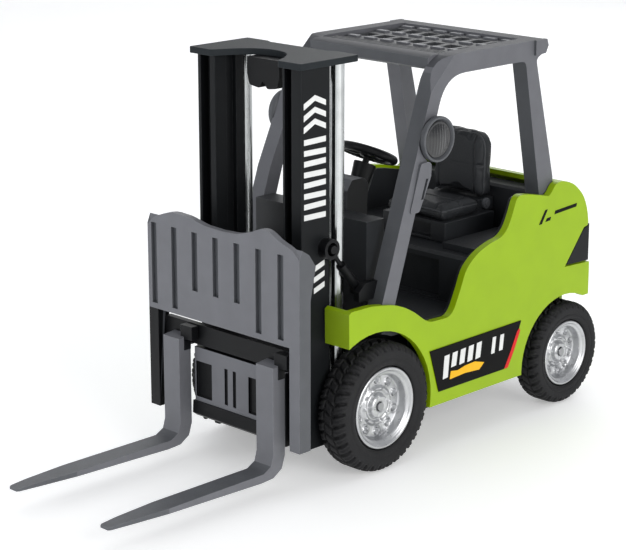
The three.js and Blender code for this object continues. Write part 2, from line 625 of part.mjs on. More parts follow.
function mastFoot() {
  const lug = alongX(rounded([
    [-13.0, 17.5], [-5.6, 17.5], [-4.9, 22.0], [-4.9, 26.4],
    [-6.6, 27.6], [-10.4, 27.6], [-13.0, 24.6],
  ], [0, 0, 0.6, 1, 1, 1, 0]), 6.2, 10.1);
  return cut(
    join(
      midBox(27.4, RAIL.y1 + 0.1, -12.6, 13.0, 22.6),
      midBox(27.4, -12.8, -5.6, 13.0, 18.0),
      both(lug)),
    crossBore(PIVOT.radius + 0.25, PIVOT),
    both(box(10.2, 14.1, -12.2, 0, 0, 40)));           // gaps for the chassis ears
}
const liftCylinder = () => cylinderZ(LIFT_CYL.radius, 18.1, RAIL.z1 - 0.05, LIFT_CYL, 24);
const mastPivotPin = () => cylinderX(PIVOT.radius, -15.4, 15.4, PIVOT, 20);

// ---------------------------------------------------------------- tilt cylinders
// built along +y from the foot, then turned up to the boss
const TILT_DY = BOSS.y - TILT_FOOT.y;
const TILT_DZ = BOSS.z - TILT_FOOT.z;
const TILT_LENGTH = Math.hypot(TILT_DY, TILT_DZ);
const TILT_ANGLE = Math.atan2(TILT_DZ, TILT_DY) * 180 / Math.PI;
const TILT_AXIS = { x: TILT_FOOT.x, z: 0 };
const placeTilt = body =>
  body.rotate([TILT_ANGLE, 0, 0]).translate([0, TILT_FOOT.y, TILT_FOOT.z]);

function tiltBarrel() {
  const { x } = TILT_FOOT;
  const eye = { y: 0, z: 0 };
  return placeTilt(cut(
    join(cylinderX(2.5, x - 1.9, x + 1.9, eye, 20), cylinderY(1.95, 1.4, 14.6, TILT_AXIS, 20)),
    cylinderX(1.4, x - 5, x + 5, eye, 16),
    cylinderY(1.15, 6.0, 20, TILT_AXIS, 16)));
}
function tiltRod() {
  const { x } = TILT_FOOT;
  const eye = { y: TILT_LENGTH, z: 0 };
  return placeTilt(cut(
    join(
      cylinderY(0.9, 8.6, TILT_LENGTH - 3.0, TILT_AXIS, 16),
      cylinderX(3.9, x - 1.5, x + 1.7, eye, 24)),
    cylinderX(BOSS.radius + 1.0, x - 5, x + 5, eye, 20)));
}

// ---------------------------------------------------------------- load backrest
// front view as (x, z)
const BACKREST_OUTLINE = [
  [-BACKREST.half, 58.5], [-BACKREST.half, 91.6], [-37.0, 95.2], [-30.4, 97.6],
  [-26.0, 98.6], [-17.6, 98.2], [-9.0, 96.3], [0, 95.9], [9.0, 96.3], [16.0, 98.2],
  [21.4, 100.6], [25.6, 100.4], [31.0, 97.4], [37.0, 95.6],
  [BACKREST.half, 92.4], [BACKREST.half, 58.5],
];
const BACKREST_RADII = [0.6, 4, ...Array(12).fill(20), 3, 0.6];
// side post as (distance behind the front plane, z)
const BACKREST_POST = [
  [0, 18.8], [5.7, 18.8], [5.7, 76.0], [8.4, 88.6], [5.0, 93.4], [1.5, 95.6], [0, 92.0],
];
// upright blind slots; one bottom height for each, from right to left
const SLOTS = {
  firstX: -37.6, pitch: 11.52, half: 1.55, top: 92.7,
  bottoms: [60.6, 60.6, 69.8, 69.8, 69.8, 60.6, 60.6],
};

function loadBackrest() {
  const { y: front, half } = BACKREST;
  const plate = alongY(rounded(BACKREST_OUTLINE, BACKREST_RADII, 3), front, front + 2.6);
  const post = alongX(BACKREST_POST.map(([dy, z]) => [front + dy, z]), 36.0, half);
  const slots = SLOTS.bottoms.map((bottom, i) => {
    const x = SLOTS.firstX + SLOTS.pitch * i;
    return box(x - SLOTS.half, x + SLOTS.half, front - 1, front + 1.5, bottom, SLOTS.top);
  });
  const tieBar = midBox(36.4, front + 2.4, front + 4.4, 84.0, 88.0);
  return join(cut(join(plate, both(post)), ...slots), tieBar);
}

// ---------------------------------------------------------------- fork carriage
// lower bar as (y, z)
const LOWER_BAR = [[-42.6, 24.4], [-42.9, 19.4], [-41.0, 17.9], [-37.6, 17.9], [-37.6, 24.4]];

function forkCarriage() {
  let carriage = join(
    midBox(35.7, -42.3, -39.6, 47.4, 55.4),            // upper bar
    midBox(19.6, -42.0, -39.2, 24.0, 46.2),            // middle plate
    acrossMiddle(LOWER_BAR, 20.4),
    midBox(16.9, -39.8, -18.4, 27.0, 55.0));           // slide block
  // shallow recesses in the front of the middle plate
  carriage = cut(carriage,
    both(box(10.2, 18.8, -50, -41.0, 26.2, 40.6)),
    box(-2.9, -1.3, -50, -41.4, 26.4, 40.8),
    box(1.7, 3.3, -50, -41.4, 26.4, 40.8));
  // tongues that run in the rails' inner grooves
  carriage = join(carriage, midBox(19.5, -25.1, -20.7, 30.0, 52.0));
  return cut(carriage, midBox(12.0, -36.0, -15, 20, 50.0));
}

// ---------------------------------------------------------------- forks
function fork(x0, x1) {
  const { tip, top, bottom } = TINE;
  const { y0: front, y1: back, top: shankTop } = SHANK;
  const blade = alongX([
    [tip, 8.9], [tip, 9.9], [-118.0, top], [front - 5.0, top], [front - 1.2, top + 2.0],
    [front, top + 6.0], [front, shankTop], [back + 3.2, shankTop + 1.0],
    [back + 3.2, 46.6], [back, 46.6], [back, 15.0], [back - 1.6, 10.0],
    [back - 6.0, bottom + 0.4], [back - 12.0, bottom],
  ], x0, x1);
  // plan view narrowing to the tip, as (distance from the middle, y)
  const middle = (x0 + x1) / 2;
  const half = (x1 - x0) / 2;
  const edge = [[half, 0], [half, -100], [half - 1.2, -117], [2.6, tip + 1.0], [1.6, tip - 0.5]];
  const plan = [
    ...edge.map(([dx, y]) => [middle + dx, y]),
    ...[...edge].reverse().map(([dx, y]) => [middle - dx, y]),
  ];
  // locking lug on the +X side of either fork
  const lugged = join(blade.intersect(alongZ(plan, -5, 80)),
    box(x1 - 0.2, x1 + 4.4, -46.0, -42.7, 49.6, 55.0),
    box(x1 - 2.0, x1 + 0.4, -46.0, -42.8, 45.0, 55.0));
  // notch that leaves a hook over the carriage's upper bar
  return cut(lugged, midBox(40, -42.6, -39.3, 47.1, 60));
}

// ---------------------------------------------------------------- assembly
addPiece('chassis_pan', chassisPan(), { color: BLACK, roughness: 0.6 });
addPiece('instrument_panel', instrumentPanel(), { color: DARK, roughness: 0.5 });
addPiece('steering_column', steeringColumn(), { color: BLACK, roughness: 0.5 });
addPiece('steering_wheel', steeringWheel(), { color: BLACK, roughness: 0.45 });
addPiece('seat_base', seatBase(), { color: DARK, roughness: 0.6 });
addPiece('seat_cushion', seatCushion(), { color: DARK, roughness: 0.8 });
addPiece('seat_back', seatBack(), { color: DARK, roughness: 0.8 });

// the shell and the tub are notched round the guard's posts
const guard = guardFrame();
addPiece('guard_frame', guard, { color: GREY, roughness: 0.5 });
addPiece('body_shell', cut(bodyShell(), guard), { color: GREEN, roughness: 0.42 });
addPiece('cab_tub', cut(cabTub(), guard), { color: DARK, roughness: 0.55 });
addPiece('roof_grille', roofGrille(), { color: DARK, roughness: 0.55 });

addPair('lamp_housing', lampHousing(), { color: GREY, roughness: 0.45 });
addPair('lamp_lens', lampLens(), CLEAR);
addPair('tail_bezel', tailBezel(), { color: BLACK, roughness: 0.35 });
addPair('tail_lens', tailLens(), TAIL_RED);
addPair('side_panel', sidePanel(), { color: BLACK, roughness: 0.3 });

addPiece('battery_cover', batteryCover(), { color: BLACK, roughness: 0.6 });
addPiece('battery_screw', batteryScrew(), STEEL);
[-13, 0, 13].forEach((x, i) =>
  addPiece(`button_cell_${i + 1}`, buttonCell(x), { ...STEEL, roughness: 0.25 }));
addPiece('circuit_board', circuitBoard(), BOARD_GREEN);
addPiece('speaker', speaker(), { color: BLACK, roughness: 0.5 });
addPiece('sound_button', soundButton(), { color: RED, roughness: 0.4 });

for (const [side, place] of [['left', body => body], ['right', mirrorX]]) {
  for (const [end, wheel] of [['front', FRONT], ['rear', REAR]]) {
    addPiece(`tyre_${end}_${side}`, place(tyre(wheel)), TYRE_RUBBER);
    addPiece(`rim_${end}_${side}`, place(rim(wheel)), CHROME);
  }
}
addPiece('front_axle', axle(FRONT, 39.4), STEEL);
addPiece('rear_axle', axle(REAR, 38.8), STEEL);
addPiece('axle_gear', axleGear(), GEAR_PLASTIC);
addPiece('idler_gear', idlerGear(), GEAR_PLASTIC);
addPiece('flywheel', flywheel(), STEEL);
addPiece('gearbox_housing', gearboxHousing(), { color: BLACK, roughness: 0.6 });

// the right rail's front groove is wider than the left's
addPiece('mast_rail_left', mastRail(19.0, 22.6), { color: DARK, roughness: 0.45 });
addPiece('mast_rail_right', mirrorX(mastRail(20.6, 25.8)), { color: DARK, roughness: 0.45 });
addPiece('mast_crosshead', mastCrosshead(), { color: GREY, roughness: 0.45 });
addPiece('pulley_block', pulleyBlock(), { color: BLACK, roughness: 0.5 });
addPiece('mast_foot', mastFoot(), { color: DARK, roughness: 0.5 });
addPair('lift_cylinder', liftCylinder(), { ...CHROME, roughness: 0.2 });
addPiece('mast_pivot_pin', mastPivotPin(), STEEL);
addPair('tilt_barrel', tiltBarrel(), { color: GREY, roughness: 0.4 });
addPair('tilt_rod', tiltRod(), STEEL);

addPiece('load_backrest', loadBackrest(), { color: GREY, roughness: 0.5 });
addPiece('fork_carriage', forkCarriage(), { color: DARK, roughness: 0.5 });
addPiece('fork_left', fork(FORK.x0, FORK.x1), { color: GREY, roughness: 0.5 });
addPiece('fork_right', fork(-FORK.x1, -FORK.x0), { color: GREY, roughness: 0.5 });

export default group;
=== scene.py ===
# Toy forklift truck: skins, materials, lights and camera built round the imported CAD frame.
# The scene is in metres, +Z up. The forks point to -Y (front) and the truck's left is +X.
# Shapes are given in mm, with y counted from the front axle; point() turns them into metres.
import bpy, bmesh, math, json
import numpy as np
from mathutils import Vector, Matrix
from mathutils.bvhtree import BVHTree

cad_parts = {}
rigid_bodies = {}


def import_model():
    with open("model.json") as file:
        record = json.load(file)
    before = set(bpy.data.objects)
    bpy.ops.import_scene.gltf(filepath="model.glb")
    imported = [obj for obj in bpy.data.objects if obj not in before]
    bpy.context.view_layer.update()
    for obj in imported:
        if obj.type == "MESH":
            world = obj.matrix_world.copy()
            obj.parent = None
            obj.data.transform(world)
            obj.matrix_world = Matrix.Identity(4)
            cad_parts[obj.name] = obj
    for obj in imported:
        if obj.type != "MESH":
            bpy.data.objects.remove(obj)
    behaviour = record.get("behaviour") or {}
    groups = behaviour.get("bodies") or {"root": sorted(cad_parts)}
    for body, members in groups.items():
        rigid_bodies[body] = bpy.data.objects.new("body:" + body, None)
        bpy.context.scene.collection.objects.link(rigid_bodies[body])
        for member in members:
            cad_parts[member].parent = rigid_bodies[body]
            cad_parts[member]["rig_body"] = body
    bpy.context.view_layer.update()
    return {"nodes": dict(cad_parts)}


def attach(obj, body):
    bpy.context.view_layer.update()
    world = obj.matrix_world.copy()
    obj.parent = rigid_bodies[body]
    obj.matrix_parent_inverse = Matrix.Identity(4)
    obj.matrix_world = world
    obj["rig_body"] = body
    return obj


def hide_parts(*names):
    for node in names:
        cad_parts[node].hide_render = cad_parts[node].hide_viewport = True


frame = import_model()

MM = 0.001
ORIGIN_Y = 4.2               # the frame's origin lies this far behind the front axle
TAU = 2 * math.pi
COLLECTION = bpy.context.scene.collection
MATERIALS = {}


def point(x, y, z):
    return Vector((x * MM, (y - ORIGIN_Y) * MM, z * MM))


# ------------------------------------------------------------------ shader helpers
def new_material(name):
    material = bpy.data.materials.new(name)
    material.use_nodes = True
    tree = material.node_tree
    tree.nodes.clear()
    output = tree.nodes.new("ShaderNodeOutputMaterial")
    shader = tree.nodes.new("ShaderNodeBsdfPrincipled")
    tree.links.new(shader.outputs[0], output.inputs[0])
    coords = tree.nodes.new("ShaderNodeTexCoord").outputs["Object"]
    MATERIALS[name] = material
    return tree, shader, coords


def noise(tree, coords, scale, detail, rough):
    node = tree.nodes.new("ShaderNodeTexNoise")
    node.inputs["Scale"].default_value = scale
    node.inputs["Detail"].default_value = detail
    node.inputs["Roughness"].default_value = rough
    tree.links.new(coords, node.inputs["Vector"])
    return node.outputs["Fac"]


def remap(tree, source, to_min=0, to_max=1, from_min=0.3, from_max=0.7):
    node = tree.nodes.new("ShaderNodeMapRange")
    node.inputs["From Min"].default_value = from_min
    node.inputs["From Max"].default_value = from_max
    node.inputs["To Min"].default_value = to_min
    node.inputs["To Max"].default_value = to_max
    tree.links.new(source, node.inputs["Value"])
    return node.outputs[0]


def mix(tree, factor, *colours):
    """Mixes two colours, each a linear RGB tuple or a socket."""
    node = tree.nodes.new("ShaderNodeMix")
    node.data_type = "RGBA"
    for key, colour in zip("AB", colours):
        socket = [s for s in node.inputs if s.name == key and s.type == "RGBA"][0]
        if isinstance(colour, tuple):
            socket.default_value = (*colour, 1)
        else:
            tree.links.new(colour, socket)
    socket = [s for s in node.inputs if s.name == "Factor" and s.type == "VALUE"][0]
    tree.links.new(factor, socket)
    return [s for s in node.outputs if s.type == "RGBA"][0]


def add_bump(tree, shader, height, strength, distance):
    node = tree.nodes.new("ShaderNodeBump")
    node.inputs["Strength"].default_value = strength
    node.inputs["Distance"].default_value = distance
    tree.links.new(height, node.inputs["Height"])
    tree.links.new(node.outputs[0], shader.inputs["Normal"])


def linear(rgb):
    """sRGB 0-255 to linear."""
    return tuple(c / 12.92 if c <= 0.04045 else ((c + 0.055) / 1.055) ** 2.4
                 for c in (v / 255 for v in rgb))


# ------------------------------------------------------------------ materials
def plastic(name, rgb, rough, drift, grain, grain_scale, mottle,
            edge_wear_and_highlight=None, edge_wear_and_highlight_amount=0.5, specular=0.32, coat=0.0, edge=0.00035):
    """Slow colour drift, fine grain in roughness and bump, paler edges: a painted highlight
    along each edge, patchy like wear.
    """
    tree, shader, coords = new_material(name)
    colour = linear(rgb)
    slow = noise(tree, coords, scale=mottle, detail=2.0, rough=0.5)
    fine = noise(tree, coords, scale=grain_scale, detail=3.0, rough=0.6)
    darker = tuple(c * (1 - drift) for c in colour)
    lighter = tuple(min(1, c * (1 + drift)) for c in colour)
    base = mix(tree, remap(tree, slow), darker, lighter)
    # painted highlight along the edges, partly wear: noise patches set how pale
    if edge_wear_and_highlight:
        # the rounded normal turns away from the true one near an edge
        bevel = tree.nodes.new("ShaderNodeBevel")
        bevel.samples = 4
        bevel.inputs["Radius"].default_value = edge
        geometry = tree.nodes.new("ShaderNodeNewGeometry")
        dot = tree.nodes.new("ShaderNodeVectorMath")
        dot.operation = "DOT_PRODUCT"
        tree.links.new(bevel.outputs[0], dot.inputs[0])
        tree.links.new(geometry.outputs["Normal"], dot.inputs[1])
        edges = remap(tree, dot.outputs["Value"], 1.0, 0.0, from_min=0.80, from_max=0.995)
        patchy = tree.nodes.new("ShaderNodeMath")
        patchy.operation = "MULTIPLY"
        tree.links.new(edges, patchy.inputs[0])
        patches = noise(tree, coords, scale=420, detail=3, rough=0.6)
        amount = remap(tree, patches, 0.1, edge_wear_and_highlight_amount, from_min=0.35, from_max=0.7)
        tree.links.new(amount, patchy.inputs[1])
        base = mix(tree, patchy.outputs[0], base, linear(edge_wear_and_highlight))
    tree.links.new(base, shader.inputs["Base Color"])
    tree.links.new(remap(tree, fine, rough - 0.06, rough + 0.08), shader.inputs["Roughness"])
    shader.inputs["Specular IOR Level"].default_value = specular
    if coat:
        shader.inputs["Coat Weight"].default_value = coat
        shader.inputs["Coat Roughness"].default_value = 0.12
    add_bump(tree, shader, fine, strength=grain, distance=0.00012)


def metal(name, rgb, rough, brushed=0.0, axis=0):
    """Plated or plain metal; brushing stretches the grain along an axis."""
    tree, shader, coords = new_material(name)
    colour = linear(rgb)
    mapping = tree.nodes.new("ShaderNodeMapping")
    stretch = [1.0, 1.0, 1.0]
    if brushed:
        stretch[axis] = 0.04
    mapping.inputs["Scale"].default_value = stretch
    tree.links.new(coords, mapping.inputs["Vector"])
    fine = noise(tree, mapping.outputs[0], scale=2200 if brushed else 900, detail=4, rough=0.6)
    slow = noise(tree, coords, scale=140, detail=2, rough=0.5)
    darker = tuple(c * (1 - 0.16) for c in colour)
    tree.links.new(mix(tree, remap(tree, slow), darker, colour), shader.inputs["Base Color"])
    shader.inputs["Metallic"].default_value = 1.0
    tree.links.new(remap(tree, fine, rough - 0.05, rough + 0.1), shader.inputs["Roughness"])
    add_bump(tree, shader, fine, strength=0.08 + brushed * 0.2, distance=0.00008)


def smoked_lens():
    tree, shader, coords = new_material("smoked_lens")
    fine = noise(tree, coords, scale=900, detail=2, rough=0.5)
    colour = mix(tree, remap(tree, fine), linear((14, 15, 17)), linear((24, 25, 28)))
    tree.links.new(colour, shader.inputs["Base Color"])
    tree.links.new(remap(tree, fine, 0.14, 0.24), shader.inputs["Roughness"])
    shader.inputs["Coat Weight"].default_value = 0.5
    shader.inputs["Coat Roughness"].default_value = 0.08


# name, sRGB colour, roughness, colour drift, grain bump, grain scale, mottle scale, then
# optionally: paler edge colour (painted highlight, partly wear), its amount, specular, coat,
# edge width (m)
PLASTICS = [
    ("green_plastic", (146, 178, 0), 0.36, 0.035, 0.06, 3200, 90,
     (172, 200, 50), 0.3, 0.3, 0.0, 0.0006),
    ("grey_plastic", (99, 100, 105), 0.44, 0.05, 0.16, 3000, 140, (150, 151, 156), 0.6),
    # darker copy of the guard grey for the roof's top faces: painted shade
    ("grey_top", (74, 75, 79), 0.5, 0.05, 0.16, 3000, 140, (124, 125, 130), 0.5, 0.12),
    ("grey_backrest", (108, 109, 114), 0.44, 0.05, 0.14, 3000, 120, (150, 151, 155), 0.65),
    ("grey_fork", (88, 90, 94), 0.40, 0.07, 0.16, 2600, 150, (140, 141, 145), 0.8),
    ("grey_dark", (84, 86, 90), 0.44, 0.06, 0.14, 2800, 130, (124, 126, 130)),
    # paler, coated copy of the green for the front faces: painted sheen
    ("green_front", (150, 180, 30), 0.40, 0.05, 0.06, 3200, 90, None, 0.0, 0.32, 0.1),
    ("slate_plastic", (38, 42, 45), 0.5, 0.05, 0.12, 2800, 120, (96, 101, 105), 0.5, 0.1),
    ("mast_plastic", (22, 24, 26), 0.48, 0.08, 0.12, 2600, 130, (96, 98, 101), 0.6, 0.15),
    ("roof_dark", (62, 63, 66), 0.5, 0.06, 0.2, 2400, 120, (90, 91, 94)),
    ("dark_plastic", (36, 38, 41), 0.48, 0.07, 0.22, 2400, 120, (92, 94, 97)),
    ("cowl_plastic", (50, 51, 54), 0.50, 0.06, 0.2, 2400, 120, (100, 101, 104)),
    ("black_plastic", (15, 16, 18), 0.42, 0.12, 0.18, 2600, 140, (62, 63, 66), 0.5, 0.2),
    ("seat_vinyl", (40, 42, 45), 0.55, 0.08, 0.5, 1500, 90),
    ("seat_piping", (64, 66, 69), 0.5, 0.08, 0.3, 2000, 120),
    ("tyre_rubber", (24, 24, 26), 0.70, 0.16, 0.35, 1800, 200, (62, 61, 60), 0.5, 0.35),
    ("red_lens", (190, 18, 22), 0.16, 0.08, 0.05, 2000, 300, None, 0.0, 0.32, 0.6),
    ("print_white", (226, 227, 226), 0.42, 0.03, 0.1, 2600, 200),
    ("print_yellow", (244, 184, 8), 0.42, 0.04, 0.1, 2600, 200),
    ("print_red", (210, 14, 12), 0.42, 0.05, 0.1, 2600, 200),
    ("print_black", (2, 2, 2), 0.5, 0.1, 0.1, 2600, 200, None, 0.0, 0.12),
    ("board_green", (28, 96, 50), 0.45, 0.1, 0.2, 1800, 300),
    ("gear_natural", (222, 214, 192), 0.5, 0.05, 0.15, 2000, 200),
]
for row in PLASTICS:
    plastic(*row)
metal("plated_rim", (205, 206, 208), rough=0.30)
metal("plated_cylinder", (200, 203, 203), rough=0.20, brushed=0.6, axis=2)
metal("plain_steel", (170, 171, 173), rough=0.32, brushed=0.7, axis=0)
smoked_lens()


# ------------------------------------------------------------------ mesh helpers
def link(name, me, material, body, replaces=None):
    obj = bpy.data.objects.new(name, me)
    COLLECTION.objects.link(obj)
    me.materials.clear()
    me.materials.append(MATERIALS[material])
    if replaces:
        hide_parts(replaces)
    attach(obj, body)
    return obj


def from_bm(bm, name):
    bmesh.ops.recalc_face_normals(bm, faces=bm.faces)
    me = bpy.data.meshes.new(name)
    bm.to_mesh(me)
    bm.free()
    return me


def bake(me, *modifiers):
    """A new mesh with modifiers applied, each given as (type, settings)."""
    obj = bpy.data.objects.new("tmp", me)
    COLLECTION.objects.link(obj)
    for kind, settings in modifiers:
        modifier = obj.modifiers.new(kind.lower(), kind)
        for key, value in settings.items():
            setattr(modifier, key, value)
    depsgraph = bpy.context.evaluated_depsgraph_get()
    depsgraph.update()
    baked = bpy.data.meshes.new_from_object(obj.evaluated_get(depsgraph))
    baked.name = me.name
    bpy.data.objects.remove(obj)
    return baked


def shade_smooth(me):
    me.polygons.foreach_set("use_smooth", [True] * len(me.polygons))


def finish_mesh(me, sharp=38):
    """Smooth shading with edges over `sharp` degrees kept crisp."""
    shade_smooth(me)
    me.set_sharp_from_angle(angle=math.radians(sharp))
    return bake(me, ("WEIGHTED_NORMAL", dict(keep_sharp=True, weight=80)))


def rounded_mesh(me, width, segments, angle=28, dissolve=0):
    """Merges flat triangles into whole faces, then rounds the sharp edges as moulding does."""
    bm = bmesh.new()
    bm.from_mesh(me)
    bmesh.ops.remove_doubles(bm, verts=bm.verts, dist=2e-6)
    if dissolve:
        bmesh.ops.dissolve_limit(bm, angle_limit=math.radians(dissolve), verts=bm.verts,
                                 edges=bm.edges, delimit={"NORMAL"})
    merged = bpy.data.meshes.new("r")
    bm.to_mesh(merged)
    bm.free()
    bevelled = bake(merged, ("BEVEL", dict(
        width=width * MM, segments=segments, limit_method="ANGLE",
        angle_limit=math.radians(angle), miter_outer="MITER_ARC",
        use_clamp_overlap=True, harden_normals=False)))
    return finish_mesh(bevelled, 40)


def bridge(bm, first, second):
    """Faces between two rings; a ring of one vertex is a pole."""
    count = max(len(first), len(second))
    for i in range(count):
        j = (i + 1) % count
        if len(first) == 1:
            bm.faces.new((first[0], second[j], second[i]))
        elif len(second) == 1:
            bm.faces.new((first[i], first[j], second[0]))
        else:
            bm.faces.new((first[i], first[j], second[j], second[i]))


def lathe(bm, profile, count, place, warp=None, closed=False):
    """Turns (radius, along) points; place(along, u, v) puts a vertex, u and v off the axis.

    warp(turn, radius, along) may return a moved (radius, along)."""
    rings = []
    for radius, along in profile:
        if radius == 0:
            rings.append([bm.verts.new(place(along, 0, 0))])
            continue
        ring = []
        for i in range(count):
            turn = TAU * i / count
            r, a = warp(turn, radius, along) if warp else (radius, along)
            ring.append(bm.verts.new(place(a, r * math.cos(turn), r * math.sin(turn))))
        rings.append(ring)
    for first, second in zip(rings, rings[1:]):
        bridge(bm, first, second)
    if closed:
        bridge(bm, rings[-1], rings[0])


def lathe_x(name, profile, count, y, z, warp=None, closed=True):
    """(radius, x) points turned about the line along x through (y, z)."""
    bm = bmesh.new()
    lathe(bm, profile, count, lambda along, u, v: point(along, y + u, z + v), warp, closed)
    return from_bm(bm, name)


def prism(bm, outline, axis, low, high):
    """Outline extruded along an axis: "x" takes (y, z) points, "z" takes (x, y)."""
    def ring(h):
        return [bm.verts.new(point(h, *p) if axis == "x" else point(*p, h)) for p in outline]
    first = ring(low)
    second = ring(high)
    bm.faces.new(first)
    bm.faces.new(second[::-1])
    count = len(outline)
    for i in range(count):
        j = (i + 1) % count
        bm.faces.new((first[j], first[i], second[i], second[j]))


def disc(bm, centre, normal, radius, height, count, dome=0.0):
    """A short cylinder standing on a surface point along normal."""
    normal = Vector(normal).normalized()
    guide = Vector((0, 0, 1)) if abs(normal.z) < 0.9 else Vector((1, 0, 0))
    u = normal.cross(guide).normalized()
    v = normal.cross(u)
    centre = Vector(centre)
    rows = [(radius, 0.0), (radius, height * 0.8), (radius * 0.93, height)]
    if dome:
        rows.append((radius * 0.6, height + dome * 0.7))
    rings = []
    for r, h in rows:
        turns = [TAU * i / count for i in range(count)]
        rings.append([bm.verts.new(point(*(
            centre + normal * h + (u * math.cos(t) + v * math.sin(t)) * r))) for t in turns])
    bm.faces.new(rings[0])
    for first, second in zip(rings, rings[1:]):
        bridge(bm, first, second)
    bm.faces.new(rings[-1][::-1])


def mirrored(me, name):
    copy = me.copy()
    copy.name = name
    copy.transform(Matrix.Diagonal((-1, 1, 1, 1)))
    copy.flip_normals()
    return copy


def link_pair(me, node, body, material):
    """Stands me for the left node and its mirror image for the right one."""
    link(node + "_left_skin", me, material, body, node + "_left")
    right = mirrored(me, me.name.split(".")[0] + "_r")
    link(node + "_right_skin", right, material, body, node + "_right")


# ------------------------------------------------------------------ moulded CAD pieces
# Each rule takes a face's centre and normal and returns the index of its finish:
# 0 is the piece's own, 1 and up are its extra finishes in order.
def body_finish(x, y, z, normal):
    # front faces take the paler coated green: painted sheen
    return int(y < -9.5 and normal.y < -0.6)         # front faces


def panel_finish(x, y, z, normal):
    if z > 103.6:                                    # top
        return 2
    return int(96.5 < z < 102.6)                     # band below it


def guard_finish(x, y, z, normal):
    # low band at the front, ahead of a line that leans back
    if 67 < z < 75.2 and abs(x) < 35.8 and y < -5.4 + 0.34 * (z - 54.7):
        return 3
    # top faces of the roof are painted darker: painted shade
    if normal.z > 0.7 and z > 145:                   # top of the roof
        return 2
    # front faces on the left side and faces under the roof are painted darker grey: painted
    # shade
    shaded_front_left = normal.y < -0.75 and normal.z < 0.6 and x > 0
    shaded_under_roof = normal.z < -0.8 and z > 140
    return int(shaded_front_left or shaded_under_roof)


def grille_finish(x, y, z, normal):
    return int(z > 154.45 and y > 50)                # highest faces at the rear


def rail_finish(x, y, z, normal):
    # the walls inside the channel are painted black: painted shade; the outer faces are painted
    # black too
    channel = -30.9 < y < -26.9 and abs(normal.y) < 0.9 and 18.8 < abs(x) < 26
    return int(abs(x) > 27.75 or channel)


def backrest_finish(x, y, z, normal):
    if -41.1 < x < -35.5 and z < 58.6 and normal.x > -0.5:      # low on the right
        return 2
    # faces turned to +x and faces just behind the front face, in its recesses, are painted
    # darker grey: painted shade
    within = -45.7 < y < -44.2 and abs(x) < 41 and 60 < z < 93.5
    return int(normal.x > 0.8 or within)


def carriage_finish(x, y, z, normal):
    # middle of the front face
    return int(y < -41.6 and normal.y < -0.8 and 23.0 < z < 46.6 and abs(x) < 20)


def fork_finish(x, y, z, normal):
    near_line = min(abs(x - 30.2), abs(x + 21.2)) < 6
    if z > 44.5 and near_line and (x > 29.9 or -21.5 < x < -15):
        return 2                                     # left part of each shank's top
    # the shank above the blade is painted a lighter grey than the blade: the darker blade is
    # painted shade
    return int(z > 14)                               # the rest above the blade


def soften(node, material, width, segments, angle=28, dissolve=0.6, extra=(), rule=None):
    """A rounded copy of a CAD node stands for it."""
    source = frame["nodes"][node]
    me = rounded_mesh(source.data, width, segments, angle, dissolve)
    link(node + "_skin", me, material, source["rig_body"], node)
    for name in extra:
        me.materials.append(MATERIALS[name])
    if rule:
        for face in me.polygons:
            c = face.center
            face.material_index = rule(c.x / MM, c.y / MM + ORIGIN_Y, c.z / MM, face.normal)


# node, material, edge rounding, rounding segments, then optionally:
# least angle rounded (degrees), faces merged below (degrees), extra finishes, finish rule
RAIL = ("mast_plastic", 0.45, 3, 28, 0.6, ["black_plastic"], rail_finish)
# forks: the blade in a darker grey than the shank, as painted shade
FORK = ("grey_fork", 0.6, 3, 28, 0.2, ["grey_backrest", "black_plastic"], fork_finish)
MOULDINGS = [
    ("body_shell", "green_plastic", 1.45, 4, 32, 0.6, ["green_front"], body_finish),
    ("chassis_pan", "black_plastic", 0.3, 2),
    ("cab_tub", "dark_plastic", 0.6, 3),
    ("instrument_panel", "cowl_plastic", 0.6, 3, 28, 0.6,
     ["black_plastic", "grey_dark"], panel_finish),
    ("steering_column", "black_plastic", 0.3, 2),
    ("seat_base", "dark_plastic", 0.6, 3),
    ("guard_frame", "grey_plastic", 0.9, 3, 30, 0.6,
     ["grey_dark", "grey_top", "black_plastic"], guard_finish),
    ("roof_grille", "roof_dark", 0.25, 2, 28, 0, ["grey_plastic"], grille_finish),
    ("mast_rail_left", *RAIL),
    ("mast_rail_right", *RAIL),
    ("mast_crosshead", "slate_plastic", 0.6, 3),
    ("mast_foot", "mast_plastic", 0.4, 2),
    ("pulley_block", "black_plastic", 0.6, 3),
    ("load_backrest", "grey_backrest", 0.5, 3, 28, 0,
     ["grey_dark", "black_plastic"], backrest_finish),
    ("fork_carriage", "black_plastic", 0.35, 3, 28, 0, ["grey_backrest"], carriage_finish),
    ("fork_left", *FORK),
    ("fork_right", *FORK),
    ("battery_cover", "black_plastic", 0.3, 2),
    ("tail_bezel_left", "black_plastic", 0.35, 2),
    ("tail_bezel_right", "black_plastic", 0.35, 2),
    ("gearbox_housing", "black_plastic", 0.3, 2),
    ("tilt_barrel_left", "black_plastic", 0.25, 2),
    ("tilt_barrel_right", "black_plastic", 0.25, 2),
]
for row in MOULDINGS:
    soften(*row)

# CAD pieces shown as they are, by material
PLAIN_PIECES = {
    "board_green": "circuit_board",
    "black_plastic": "speaker tilt_rod_left tilt_rod_right",
    "plain_steel": "battery_screw button_cell_1 button_cell_2 button_cell_3 flywheel"
                   " front_axle rear_axle mast_pivot_pin",
    "gear_natural": "axle_gear idler_gear",
    "plated_cylinder": "lift_cylinder_left lift_cylinder_right",
}
for material, nodes in PLAIN_PIECES.items():
    for node in nodes.split():
        slots = frame["nodes"][node].data.materials
        slots.clear()
        slots.append(MATERIALS[material])

